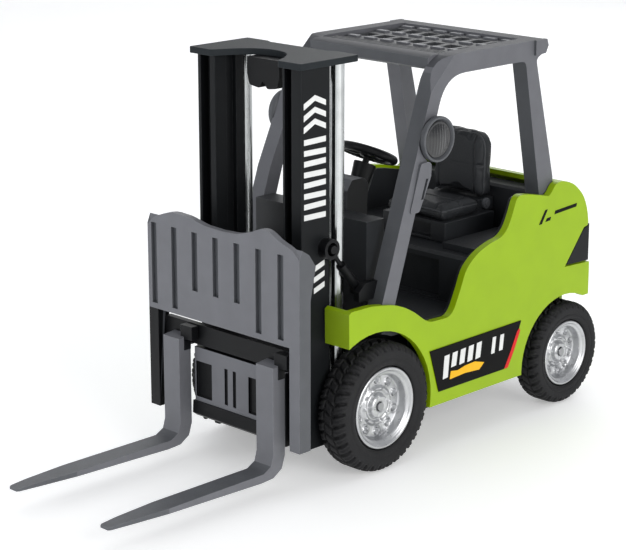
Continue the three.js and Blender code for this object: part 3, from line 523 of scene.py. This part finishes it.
# ------------------------------------------------------------------ wheels
# Sections are drawn for the front wheel and scaled to the rear one.
# outer: x of the tyre's outer face; lugs: tread blocks round the tyre
FRONT = dict(tag="f", place="front", radius=25.4, width=13.6, outer=42.2, rim=16.2,
             axle_y=0.0, lugs=36)
REAR = dict(tag="r", place="rear", radius=21.7, width=12.0, outer=41.6, rim=13.9,
            axle_y=112.7, lugs=32)
BEAD_GAP = 0.3               # tyre bead outside the rim's radius
RIM_INSET = 0.5              # rim's outer face inside the tyre's


def smooth(low, high, value):
    t = max(0.0, min(1.0, (value - low) / (high - low)))
    return t * t * (3 - 2 * t)


def tyre(wheel):
    """Carcass section with a chunky block tread pressed into it."""
    radius, width, outer, lugs = (wheel[k] for k in ("radius", "width", "outer", "lugs"))
    bead = wheel["rim"] + BEAD_GAP
    scale = radius / FRONT["radius"]
    inner = outer - width
    shoulder = 3.4 * scale
    centre = (outer + inner) / 2
    half = width / 2
    depth = 1.15 * scale

    def shoulder_arc(centre_x, start, end):
        angles = [start + (end - start) * i / 8 for i in range(9)]
        return [(radius - shoulder + shoulder * math.sin(a), centre_x + shoulder * math.cos(a))
                for a in angles]

    # (radius, x) from the inner bead over the tread to the outer bead
    wall = [(bead + 0.05, inner + 2.0), (bead + 0.1, inner + 0.9), (bead + 1.0, inner + 0.25),
            (bead + 2.4 * scale, inner), (bead + 2.9 * scale, inner + 0.25),
            (bead + 3.4 * scale, inner), (radius - shoulder - 0.3, inner)]
    tread = [(radius, inner + shoulder + (width - 2 * shoulder) * i / 22) for i in range(1, 22)]
    section = (wall + shoulder_arc(inner + shoulder, math.pi, math.pi / 2) + tread
               + shoulder_arc(outer - shoulder, math.pi / 2, 0)
               + [(r, outer + inner - x) for r, x in reversed(wall)])

    def groove(turn, x):
        """How deep the tread is cut here, 0 to 1."""
        across = (x - centre) / half                 # -1..1 over the tyre's width
        phase = turn * lugs / TAU
        cut = 0.0
        for line in (-0.30, 0.30):                   # two wavy grooves round the tyre
            off = abs(across - line - 0.035 * math.sin(TAU * phase * 0.5))
            cut = max(cut, 1 - smooth(0.035, 0.075, off))
        middle = abs(across) < 0.30
        shift = 0.5 if middle else (0.0 if across < 0 else 0.25)
        slant = (-0.9 if middle else 0.55) * across
        pitch = (phase + shift + slant) % 1.0
        cut = max(cut, 1 - smooth(0.10, 0.17, min(pitch, 1 - pitch)))
        if abs(across) > 0.55:                       # small sipe in each shoulder block
            cut = max(cut, 0.45 * (1 - smooth(0.03, 0.08, abs(pitch - 0.5))))
        return cut

    def press(turn, r, x):
        """Pushes the tread in towards the tyre's middle."""
        fade = smooth(radius - 3.0 * scale, radius - 1.6 * scale, r)
        push = groove(turn, x) * depth * fade
        dr = r - (radius - 5.0 * scale)
        dx = (x - centre) * (0.35 if abs(x - centre) > half * 0.75 else 0.0)
        length = math.hypot(dr, dx)
        return r - push * dr / length, x - push * dx / length

    me = lathe_x("tyre_" + wheel["tag"], section, lugs * 10, wheel["axle_y"], radius, press)
    return finish_mesh(me, 55)


# rim section in two runs as (radius, x from the rim's outer face)
RIM_HUB = [
    (2.6, -2.75), (3.6, -2.7), (4.3, -2.85), (4.7, -3.5), (4.9, -4.6), (5.3, -4.95),
    (5.8, -4.9), (6.3, -4.3), (6.8, -4.1), (7.3, -4.3), (7.7, -4.9), (8.2, -5.15)]
RIM_LIP = [
    (12.4, -4.8), (12.7, -4.2), (12.9, -2.2), (13.1, -1.5), (13.6, -1.15), (14.1, -1.1),
    (14.5, -0.7), (14.9, -0.2), (15.4, 0.02), (15.8, -0.08), (16.1, -0.4), (16.2, -0.9)]


def rim(wheel):
    """Deep dished rim: rolled lip, disc with pressed round holes, hub with a ring of bolts."""
    scale = wheel["rim"] / FRONT["rim"]
    outer = wheel["outer"] - RIM_INSET
    back = outer - wheel["width"]
    bore = [(1.68, back + 3.6), (1.68, outer - 3.3), (1.75, outer - 3.05)]
    hub, lip = ([(r * scale, outer + x) for r, x in run] for run in (RIM_HUB, RIM_LIP))
    plate = [((8.6 + 0.31 * i) * scale, outer - 5.15 + 0.02 * i) for i in range(12)]
    rear = [(16.2 * scale, back + 2.4), (15.4 * scale, back + 2.0), (14.6 * scale, back + 2.4),
            (13.8 * scale, outer - 6.8), (5.0, outer - 7.6), (4.6, back + 3.6)]

    def to_nearest(turn, r, count, ring, phase=0.0):
        """Distance to the nearest of count centres on a ring, in front-wheel mm times scale."""
        part = (turn * count / TAU + phase) % 1.0 - 0.5
        return math.hypot(part * TAU / count * r, r - ring * scale)

    def press(turn, r, x):
        move = 0.0
        outside = x > outer - 6
        if outside and 8.2 * scale < r < 12.3 * scale:       # holes, each with a raised edge
            d = to_nearest(turn, r, 10, 10.3)
            move -= 1.5 * (1 - smooth(0.95 * scale, 1.45 * scale, d))
            move += 0.35 * (smooth(1.3 * scale, 1.6 * scale, d)
                            - smooth(1.8 * scale, 2.3 * scale, d))
        if outside and 6.0 * scale < r < 7.8 * scale:        # bolts
            d = to_nearest(turn, r, 10, 6.8, 0.5)
            move += 0.55 * (1 - smooth(0.35 * scale, 0.75 * scale, d))
        if outside and 2.4 * scale < r < 4.5 * scale:        # dimples in the hub
            d = to_nearest(turn, r, 5, 3.4)
            move -= 0.4 * (1 - smooth(0.35 * scale, 0.7 * scale, d))
        return r, x + move

    me = lathe_x("rim_" + wheel["tag"], bore + hub + plate + lip + rear, 144,
                 wheel["axle_y"], wheel["radius"], press)
    return finish_mesh(me, 60)


for build, node, slot, material in ((tyre, "tyre_", "tyre_rubber", "tyre_rubber"),
                                    (rim, "rim_", "chrome_trim", "plated_rim")):
    for wheel in (FRONT, REAR):
        place = wheel["place"]
        link_pair(build(wheel), node + place, place + "_wheels", material)

# ------------------------------------------------------------------ steering wheel
STEERING_CENTRE = (0, 34.0, 113.2)
STEERING_LEAN = -25          # degrees about x
GRIP_RADIUS = 10.45          # centre line of the grip
GRIP_THICK = 1.72            # half the grip's thickness
# (radius, height) up the hub to its domed cap
STEERING_HUB = [
    (0, -9.0), (1.3, -9.0), (1.3, -1.9), (2.7, -1.7), (3.3, -1.0), (3.3, 0.2), (2.9, 0.7),
    (2.5, 0.75), (2.4, 0.55), (2.1, 0.6), (1.6, 1.1), (0.9, 1.35), (0, 1.45)]


def band(bm, first, second):
    """Quads between two equal closed rows."""
    count = len(first)
    for k in range(count):
        k2 = (k + 1) % count
        bm.faces.new((first[k], second[k], second[k2], first[k2]))


def add_grip(bm):
    rows = []
    for i in range(72):
        turn = TAU * i / 72
        wave = 1 - 0.05 * (1 - abs(math.sin(turn * 18)))     # finger waves on the underside
        row = []
        for k in range(16):
            a = TAU * k / 16
            thick = GRIP_THICK * (wave if math.sin(a) < 0 else 1)
            reach = GRIP_RADIUS + thick * math.cos(a)
            row.append(bm.verts.new((reach * math.cos(turn), reach * math.sin(turn),
                                     thick * math.sin(a))))
        rows.append(row)
    for i in range(72):
        band(bm, rows[i], rows[(i + 1) % 72])


def add_spoke(bm, degrees):
    """A dished spoke of squarish section, narrowest half way out."""
    ca, sa = math.cos(math.radians(degrees)), math.sin(math.radians(degrees))
    start = 2.4
    rows = []
    for i in range(9):
        u = i / 8
        out = start + (GRIP_RADIUS - 0.6 - start) * u
        half_width = 1.55 - 0.45 * math.sin(math.pi * u)
        height = -0.55 - 0.35 * math.sin(math.pi * u)
        row = []
        for k in range(12):
            c, s = math.cos(TAU * k / 12), math.sin(TAU * k / 12)
            across = half_width * math.copysign(abs(c) ** 0.6, c)
            up = 0.62 * math.copysign(abs(s) ** 0.6, s)
            row.append(bm.verts.new((out * ca - across * sa, out * sa + across * ca,
                                     height + up)))
        rows.append(row)
    for first, second in zip(rows, rows[1:]):
        band(bm, first, second)
    bm.faces.new(rows[0])
    bm.faces.new(rows[-1][::-1])


def steering_wheel():
    bm = bmesh.new()
    add_grip(bm)
    lathe(bm, STEERING_HUB, 32, lambda along, u, v: (u, v, along))
    for degrees in (90, 210, 330):
        add_spoke(bm, degrees)
    bm.normal_update()
    lean = Matrix.Rotation(math.radians(STEERING_LEAN), 4, "X")
    bmesh.ops.scale(bm, vec=(MM, MM, MM), verts=bm.verts)
    bmesh.ops.transform(bm, matrix=Matrix.Translation(point(*STEERING_CENTRE)) @ lean,
                        verts=bm.verts)
    return finish_mesh(from_bm(bm, "steering_skin"), 50)


link("steering_wheel_skin", steering_wheel(), "black_plastic", "steering",
     "steering_wheel")

# ------------------------------------------------------------------ seat
SIM_SCALE = 12.0             # the cloth is simulated this much larger
SIM_FRAMES = 20
CLOTH = dict(quality=5, mass=0.3, tension_stiffness=18, compression_stiffness=18,
             shear_stiffness=8, bending_stiffness=1.5,
             use_pressure=True, uniform_pressure_force=4.0)
PAD_INSET = 0.7              # the pad starts this far inside the CAD solid
PAD_SLACK = 0.45             # and may end this far outside its box
CHANNEL_WIDTH = 0.7
CORD_RADIUS = 0.42


def coords_of(me):
    flat = np.empty(len(me.vertices) * 3)
    me.vertices.foreach_get("co", flat)
    return flat.reshape(-1, 3)


def set_coords(me, coords):
    me.vertices.foreach_set("co", coords.ravel())
    me.update()


def inflate(node, base):
    """Where the base's vertices lie after it is blown up as cloth."""
    obj = bpy.data.objects.new("sim_" + node, base)
    COLLECTION.objects.link(obj)
    cloth = obj.modifiers.new("cloth", "CLOTH")
    for key, value in CLOTH.items():
        setattr(cloth.settings, key, value)
    cloth.settings.effector_weights.gravity = 0.0
    cloth.collision_settings.use_collision = False
    cloth.point_cache.frame_start = 1
    cloth.point_cache.frame_end = SIM_FRAMES
    scene = bpy.context.scene
    for f in range(1, SIM_FRAMES + 1):
        scene.frame_set(f)
        depsgraph = bpy.context.evaluated_depsgraph_get()
        depsgraph.update()
    coords = coords_of(obj.evaluated_get(depsgraph).data)
    bpy.data.objects.remove(obj)
    scene.frame_set(1)
    return coords


def cushion(node, max_swell, face, channels, seam):
    """The CAD solid shrunk a little and blown up, with sewn channels and an edge seam.

    face is the (axis, sign) of the padded side, channels are (axis, place, depth),
    seam is (axis, place)."""
    source = frame["nodes"][node]
    me = source.data.copy()
    me.transform(source.matrix_world)
    solid = coords_of(me)
    low, high = solid.min(0), solid.max(0)
    centre = (low + high) / 2
    half = (high - low) / 2
    shrink = (half - PAD_INSET * MM) / half
    set_coords(me, (solid - centre) * shrink * SIM_SCALE)
    base = bake(me, ("REMESH", dict(mode="VOXEL", voxel_size=0.0125, use_smooth_shade=True)),
                ("SMOOTH", dict(factor=0.5, iterations=4)))
    rest = coords_of(base)
    blown = inflate(node, base)
    swell = blown - rest
    length = np.linalg.norm(swell, axis=1)
    limit = max_swell * MM * SIM_SCALE
    swell *= np.minimum(1.0, limit / np.maximum(length, 1e-9))[:, None]
    set_coords(base, (rest + swell) / SIM_SCALE + centre)

    subdivide = ("SUBSURF", dict(levels=1, render_levels=1))
    fine = bake(base, subdivide, subdivide)
    skin = coords_of(fine)
    normals = np.array([v.normal[:] for v in fine.vertices])
    local = skin / MM + np.array([0, ORIGIN_Y, 0])
    push = np.zeros(len(skin))
    axis, sign = face
    facing = np.clip((normals[:, axis] * sign - 0.25) / 0.35, 0, 1)
    for axis, place, depth in channels:
        off = np.abs(local[:, axis] - place)
        push = np.maximum(push, depth * np.exp(-(off / CHANNEL_WIDTH) ** 2) * facing)
    # the welt beside each channel stands a touch higher
    for axis, place, depth in channels:
        off = np.abs(local[:, axis] - place)
        push -= 0.10 * np.exp(-((off - 1.3) / 0.5) ** 2) * facing
    axis, place = seam
    off = np.abs(local[:, axis] - place)
    around = np.clip((0.75 - np.abs(normals[:, axis])) / 0.3, 0, 1)
    push = np.maximum(push, 0.30 * np.exp(-(off / 0.55) ** 2) * around)
    skin = skin - normals * push[:, None] * MM
    set_coords(fine, np.clip(skin, low - PAD_SLACK * MM, high + PAD_SLACK * MM))
    shade_smooth(fine)
    return fine


def loop_on(me, axis, place):
    """Points in order round the skin where it crosses a plane (metres)."""
    tree = BVHTree.FromPolygons([v.co[:] for v in me.vertices],
                                [p.vertices[:] for p in me.polygons])
    coords = coords_of(me)
    centre = Vector((coords.min(0) + coords.max(0)) / 2)
    centre[axis] = place
    a, b = [i for i in range(3) if i != axis]
    loop = []
    for i in range(120):
        turn = TAU * i / 120
        ray = Vector((0, 0, 0))
        ray[a], ray[b] = math.cos(turn), math.sin(turn)
        hit = tree.ray_cast(centre + ray * 0.2, -ray)[0]
        if hit is not None:
            loop.append(hit.copy())
    return loop


def cord(loop, radius):
    """A round cord along a closed loop of points (metres)."""
    bm = bmesh.new()
    sides = 8
    count = len(loop)
    rings = []
    for i in range(count):
        along = (loop[(i + 1) % count] - loop[i - 1]).normalized()
        guide = Vector((0, 0, 1)) if abs(along.z) < 0.8 else Vector((1, 0, 0))
        u = along.cross(guide).normalized()
        v = along.cross(u).normalized()
        turns = [TAU * k / sides for k in range(sides)]
        rings.append([bm.verts.new(loop[i] + (u * math.cos(t) + v * math.sin(t)) * radius)
                      for t in turns])
    # neighbouring rings may turn against each other: line each up with the last
    for i in range(count):
        first, second = rings[i], rings[(i + 1) % count]
        shift = min(range(sides), key=lambda s: sum(
            (first[k].co - second[(k + s) % sides].co).length for k in range(0, sides, 2)))
        for k in range(sides):
            k2 = (k + 1) % sides
            bm.faces.new((first[k], first[k2],
                          second[(k2 + shift) % sides], second[(k + shift) % sides]))
    return from_bm(bm, "piping")


def seat_pad(node, max_swell, face, channels, seam):
    me = cushion(node, max_swell, face, channels, seam)
    link(node + "_skin", me, "seat_vinyl", "chassis", node)
    axis, place = seam
    plane = (place - ORIGIN_Y if axis == 1 else place) * MM
    piping = cord(loop_on(me, axis, plane), CORD_RADIUS * MM)
    link(node + "_cord", piping, "seat_piping", "chassis")


seat_pad("seat_cushion", max_swell=1.5, face=(2, 1), seam=(2, 86.6),
         channels=[(0, -10.2, 0.75), (0, 10.2, 0.75), (1, 74.0, 0.55)])
seat_pad("seat_back", max_swell=1.6, face=(1, -1), seam=(1, 90.2),
         channels=[(0, -9.4, 0.75), (0, 9.4, 0.75), (2, 101.5, 0.55)])


# hinge caps where the back is carried by the base
for side, tag in ((1, "l"), (-1, "r")):
    bm = bmesh.new()
    disc(bm, (side * 12.95, 91.2, 85.4), (side, 0, 0), radius=2.3, height=1.1, count=24)
    disc(bm, (side * 14.0, 91.2, 85.4), (side, 0, 0), radius=1.2, height=0.5, count=20)
    link("seat_hinge_" + tag, finish_mesh(from_bm(bm, "hinge")), "grey_dark", "chassis")

# ------------------------------------------------------------------ work lamps
LAMP_X, LAMP_Y, LAMP_Z = 38.9, 28.5, 125.5       # centre of the cup's inner face
# (radius, x from LAMP_X)
LAMP_CUP = [
    (0.9, 0), (7.0, 0), (8.0, 0.3), (8.6, 0.9), (8.8, 1.6), (8.8, 2.5), (8.65, 2.95),
    (8.3, 3.1), (7.9, 3.0), (7.65, 2.6), (7.5, 2.0), (7.1, 1.7), (6.9, 1.6), (0.9, 1.6)]
GLASS_EDGE = [(0.0, 1.75), (6.9, 1.75), (7.1, 1.95), (7.05, 2.25), (6.6, 2.45), (6.2, 2.35)]
GLASS_LOW, GLASS_TOP = 2.4, 3.06                 # the dome's rim and crown


def lamp_cup():
    profile = [(r, LAMP_X + x) for r, x in LAMP_CUP]
    return finish_mesh(lathe_x("lamp_cup", profile, 72, LAMP_Y, LAMP_Z), 40)


def lamp_glass():
    rise = GLASS_TOP - GLASS_LOW
    dome = [(5.9 - 0.2 * i, GLASS_LOW + rise * math.sin(math.pi / 2 * i / 29))
            for i in range(29)]
    profile = [(r, LAMP_X + x) for r, x in GLASS_EDGE + dome + [(0.0, GLASS_TOP)]]

    def flute(turn, r, x):
        """Shallow upright ribs cast in the glass."""
        if r < 5.95 and x > LAMP_X + 2.3:
            x += 0.05 * math.cos(r * math.cos(turn) * TAU / 1.5)
        return r, x

    me = lathe_x("lamp_glass", profile, 96, LAMP_Y, LAMP_Z, flute, closed=False)
    return finish_mesh(me, 50)


link_pair(lamp_cup(), "lamp_housing", "chassis", "grey_dark")
link_pair(lamp_glass(), "lamp_lens", "chassis", "smoked_lens")


# ------------------------------------------------------------------ tail lamps, sound button
def tail_lens():
    """A rounded block with nine ribs across its rear face."""
    bm = bmesh.new()
    outline = [(33.3, 124.4), (39.7, 124.4), (39.7, 125.75), (33.3, 125.75)]
    prism(bm, outline, "z", 62.0, 74.2)
    block = rounded_mesh(from_bm(bm, "tail_lens"), 0.35, 3)
    bm = bmesh.new()
    bm.from_mesh(block)
    for i in range(9):
        z = 63.1 + i * 1.25
        prism(bm, [(125.6, z - 0.45), (125.95, z), (125.6, z + 0.45)], "x", 33.9, 39.1)
    return finish_mesh(from_bm(bm, "tail_lens"), 30)


# (radius, y)
BUTTON = [
    (0, 119.4), (5.4, 119.4), (5.6, 119.6), (5.6, 122.8), (4.0, 123.0), (4.0, 126.4),
    (3.8, 126.9), (3.3, 127.15), (2.9, 127.0), (2.6, 126.85), (1.6, 127.05), (0, 127.12)]
BUTTON_Z = 66.0


def sound_button():
    bm = bmesh.new()
    lathe(bm, BUTTON, 48, lambda along, u, v: point(u, along, BUTTON_Z + v))
    return finish_mesh(from_bm(bm, "button"), 40)


link_pair(tail_lens(), "tail_lens", "chassis", "red_lens")
link("sound_button_skin", sound_button(), "red_lens", "button", "sound_button")

# ------------------------------------------------------------------ printed marks
FLANK = (41.9, 42.08)        # x range of the prints on the flank panels
QUARTER = (41.42, 41.6)      # and of those high on the rear quarter


def flank_bars():
    """(y, z) outlines of five slanted bars and two more behind them."""
    bars = []
    for i in range(5):
        y = 32.6 + i * 4.9
        top = 38.6 + 0.25 * i
        bottom = 33.0 if i else 29.2
        bars.append([(y, bottom), (y + 3.0, bottom + 0.3), (y + 3.9, top + 0.2), (y + 0.9, top)])
    return bars + [[(62.0, 33.0), (64.1, 33.0), (65.0, 39.8), (62.9, 39.8)],
                   [(66.9, 33.2), (69.2, 33.2), (70.0, 39.8), (67.7, 39.8)]]


# name, material, x range, edge rounding, (y, z) outlines
FLANK_MARKS = [
    ("flank_bars", "print_white", FLANK, 0.05, flank_bars()),
    ("flank_swoosh", "print_yellow", FLANK, 0.05, [
        [(36.8, 28.3), (46.0, 28.8), (54.8, 28.2), (57.8, 30.6),
         (52.0, 32.2), (46.0, 31.9), (41.5, 31.0), (37.4, 31.6)]]),
    ("flank_stripe", "print_red", FLANK, 0.05, [
        [(70.6, 24.75), (72.9, 24.75), (76.6, 31.2), (80.3, 38.9),
         (79.6, 40.0), (78.3, 38.9), (74.6, 31.6)]]),
    ("quarter_mark", "print_black", QUARTER, 0.04, [
        [(91.0, 81.0), (92.9, 81.0), (96.6, 86.6), (94.9, 86.6)],
        [(95.2, 81.5), (98.4, 81.7), (98.9, 83.1), (96.1, 82.9)],
        [(101.0, 83.7), (115.6, 84.5), (116.0, 86.0), (101.5, 85.2)]]),
]


def mast_outlines():
    """(y, z) outlines of the prints on the mast's outer face."""
    front, middle, rear = -30.0, -24.3, -18.6
    outlines = []
    for z in (144.6, 140.3, 136.0):              # three chevrons pointing up
        outlines.append([(front, z - 2.0), (middle, z + 0.9), (rear, z - 1.5),
                         (rear, z + 0.6), (middle, z + 3.0), (front, z + 0.3)])
    for i in range(8):                           # a ladder of bars
        z = 101.6 + i * 4.0
        tilt = (0.5 if i % 2 else -0.3) * 0.4
        outlines.append([(-29.9, z), (rear, z + tilt), (rear, z + 2.1 + tilt), (-29.9, z + 2.1)])
    for z in (81.2, 77.1, 72.9):                 # three slanted dashes
        outlines.append([(-24.8, z), (-19.2, z + 1.9), (-19.2, z + 4.0), (-24.8, z + 2.1)])
    return outlines


def print_mark(name, tag, material, body, x_range, rounding, outlines, mirror_name):
    bm = bmesh.new()
    for outline in outlines:
        prism(bm, outline, "x", *x_range)
    me = rounded_mesh(from_bm(bm, name), rounding, 1)
    if tag == "r":
        me = mirrored(me, mirror_name)
    link(name + "_" + tag, me, material, body)


for tag in "lr":
    for name, material, x_range, rounding, outlines in FLANK_MARKS:
        print_mark(name, tag, material, "chassis", x_range, rounding, outlines, name + "r")
for side in ("left", "right"):
    soften("side_panel_" + side, "print_black", 0.12, 2, dissolve=0.3)
for tag in "lr":
    print_mark("mast_marks", tag, "print_white", "mast", (27.6, 27.84), 0.05,
               mast_outlines(), "mast_marks_r")

# ------------------------------------------------------------------ screws under the pan
bm = bmesh.new()
for y in (4.5, 104.0):
    for x in (-22.0, 22.0):
        disc(bm, (x, y, 12.02), (0, 0, -1), radius=1.5, height=0.45, count=20, dome=0.12)
link("pan_screws", finish_mesh(from_bm(bm, "pan_screws")), "plain_steel", "chassis")


# ------------------------------------------------------------------ floor, lights, camera
def floor():
    """A pale floor that sweeps up behind the truck (metres)."""
    half_width = 6.0
    bend_start, bend = 1.6, 1.2                  # where the sweep begins, and its radius
    angles = [i * math.pi / 32 for i in range(1, 17)]
    rows = [(-half_width, 0.0), (0.9, 0.0), (bend_start, 0.0)]
    rows += [(bend_start + bend * math.sin(a), bend - bend * math.cos(a)) for a in angles]
    rows.append((bend_start + bend, 4.5))
    bm = bmesh.new()
    grid = [[bm.verts.new((x, y, z)) for x in (-half_width, half_width)] for y, z in rows]
    for a, b in zip(grid, grid[1:]):
        bm.faces.new((a[0], a[1], b[1], b[0]))
    me = bpy.data.meshes.new("floor")
    bm.to_mesh(me)
    bm.free()
    shade_smooth(me)
    obj = bpy.data.objects.new("floor", me)
    COLLECTION.objects.link(obj)
    obj.rotation_euler = (0, 0, math.radians(44.5))      # the sweep faces the camera
    tree, shader, coords = new_material("pale_floor")
    slow = noise(tree, coords, scale=3, detail=2, rough=0.5)
    colour = mix(tree, remap(tree, slow), (0.90, 0.905, 0.91), (0.93, 0.93, 0.93))
    tree.links.new(colour, shader.inputs["Base Color"])
    shader.inputs["Roughness"].default_value = 0.6
    shader.inputs["Specular IOR Level"].default_value = 0.2
    shader.inputs["Emission Color"].default_value = (1, 1, 1, 1)
    shader.inputs["Emission Strength"].default_value = 0.32
    me.materials.append(MATERIALS["pale_floor"])


def area_light(name, location, size, size_y, power, colour=(1, 1, 1)):
    light = bpy.data.lights.new(name, "AREA")
    light.shape = "RECTANGLE"
    light.size = size
    light.size_y = size_y
    light.energy = power
    light.color = colour
    obj = bpy.data.objects.new(name, light)
    COLLECTION.objects.link(obj)
    obj.location = location
    aim = Vector((0.0, 0.0, 0.06)) - Vector(location)
    obj.rotation_euler = aim.to_track_quat("-Z", "Y").to_euler()


def camera():
    data = bpy.data.cameras.new("cam")
    obj = bpy.data.objects.new("cam", data)
    COLLECTION.objects.link(obj)
    location = Vector((0.5267, -0.53224 - ORIGIN_Y * MM, 0.27792))
    target = Vector((0.00287, -ORIGIN_Y * MM, 0.07052))
    obj.location = location
    obj.rotation_mode = "QUATERNION"
    obj.rotation_quaternion = (target - location).to_track_quat("-Z", "Y")
    data.sensor_width = 36
    data.lens = 114.93
    data.clip_start = 0.01
    data.clip_end = 30
    bpy.context.scene.camera = obj


floor()
area_light("key", (1.0, -0.15, 0.42), size=0.7, size_y=0.6, power=5.5, colour=(1, 0.99, 0.97))
area_light("front", (-0.30, -1.1, 0.42), size=0.8, size_y=0.6, power=3.5,
           colour=(0.97, 0.985, 1.0))
area_light("top", (0.0, 0.1, 1.2), size=1.1, size_y=1.1, power=1.3)
area_light("rear", (-0.5, 1.0, 0.6), size=0.8, size_y=0.5, power=2.0)

world = bpy.data.worlds.new("studio")
bpy.context.scene.world = world
world.use_nodes = True
background = world.node_tree.nodes["Background"]
background.inputs["Color"].default_value = (0.95, 0.97, 1.0, 1)
background.inputs["Strength"].default_value = 0.46
camera()
bpy.context.scene.view_settings.view_transform = "Standard"
bpy.context.scene.view_settings.look = "None"
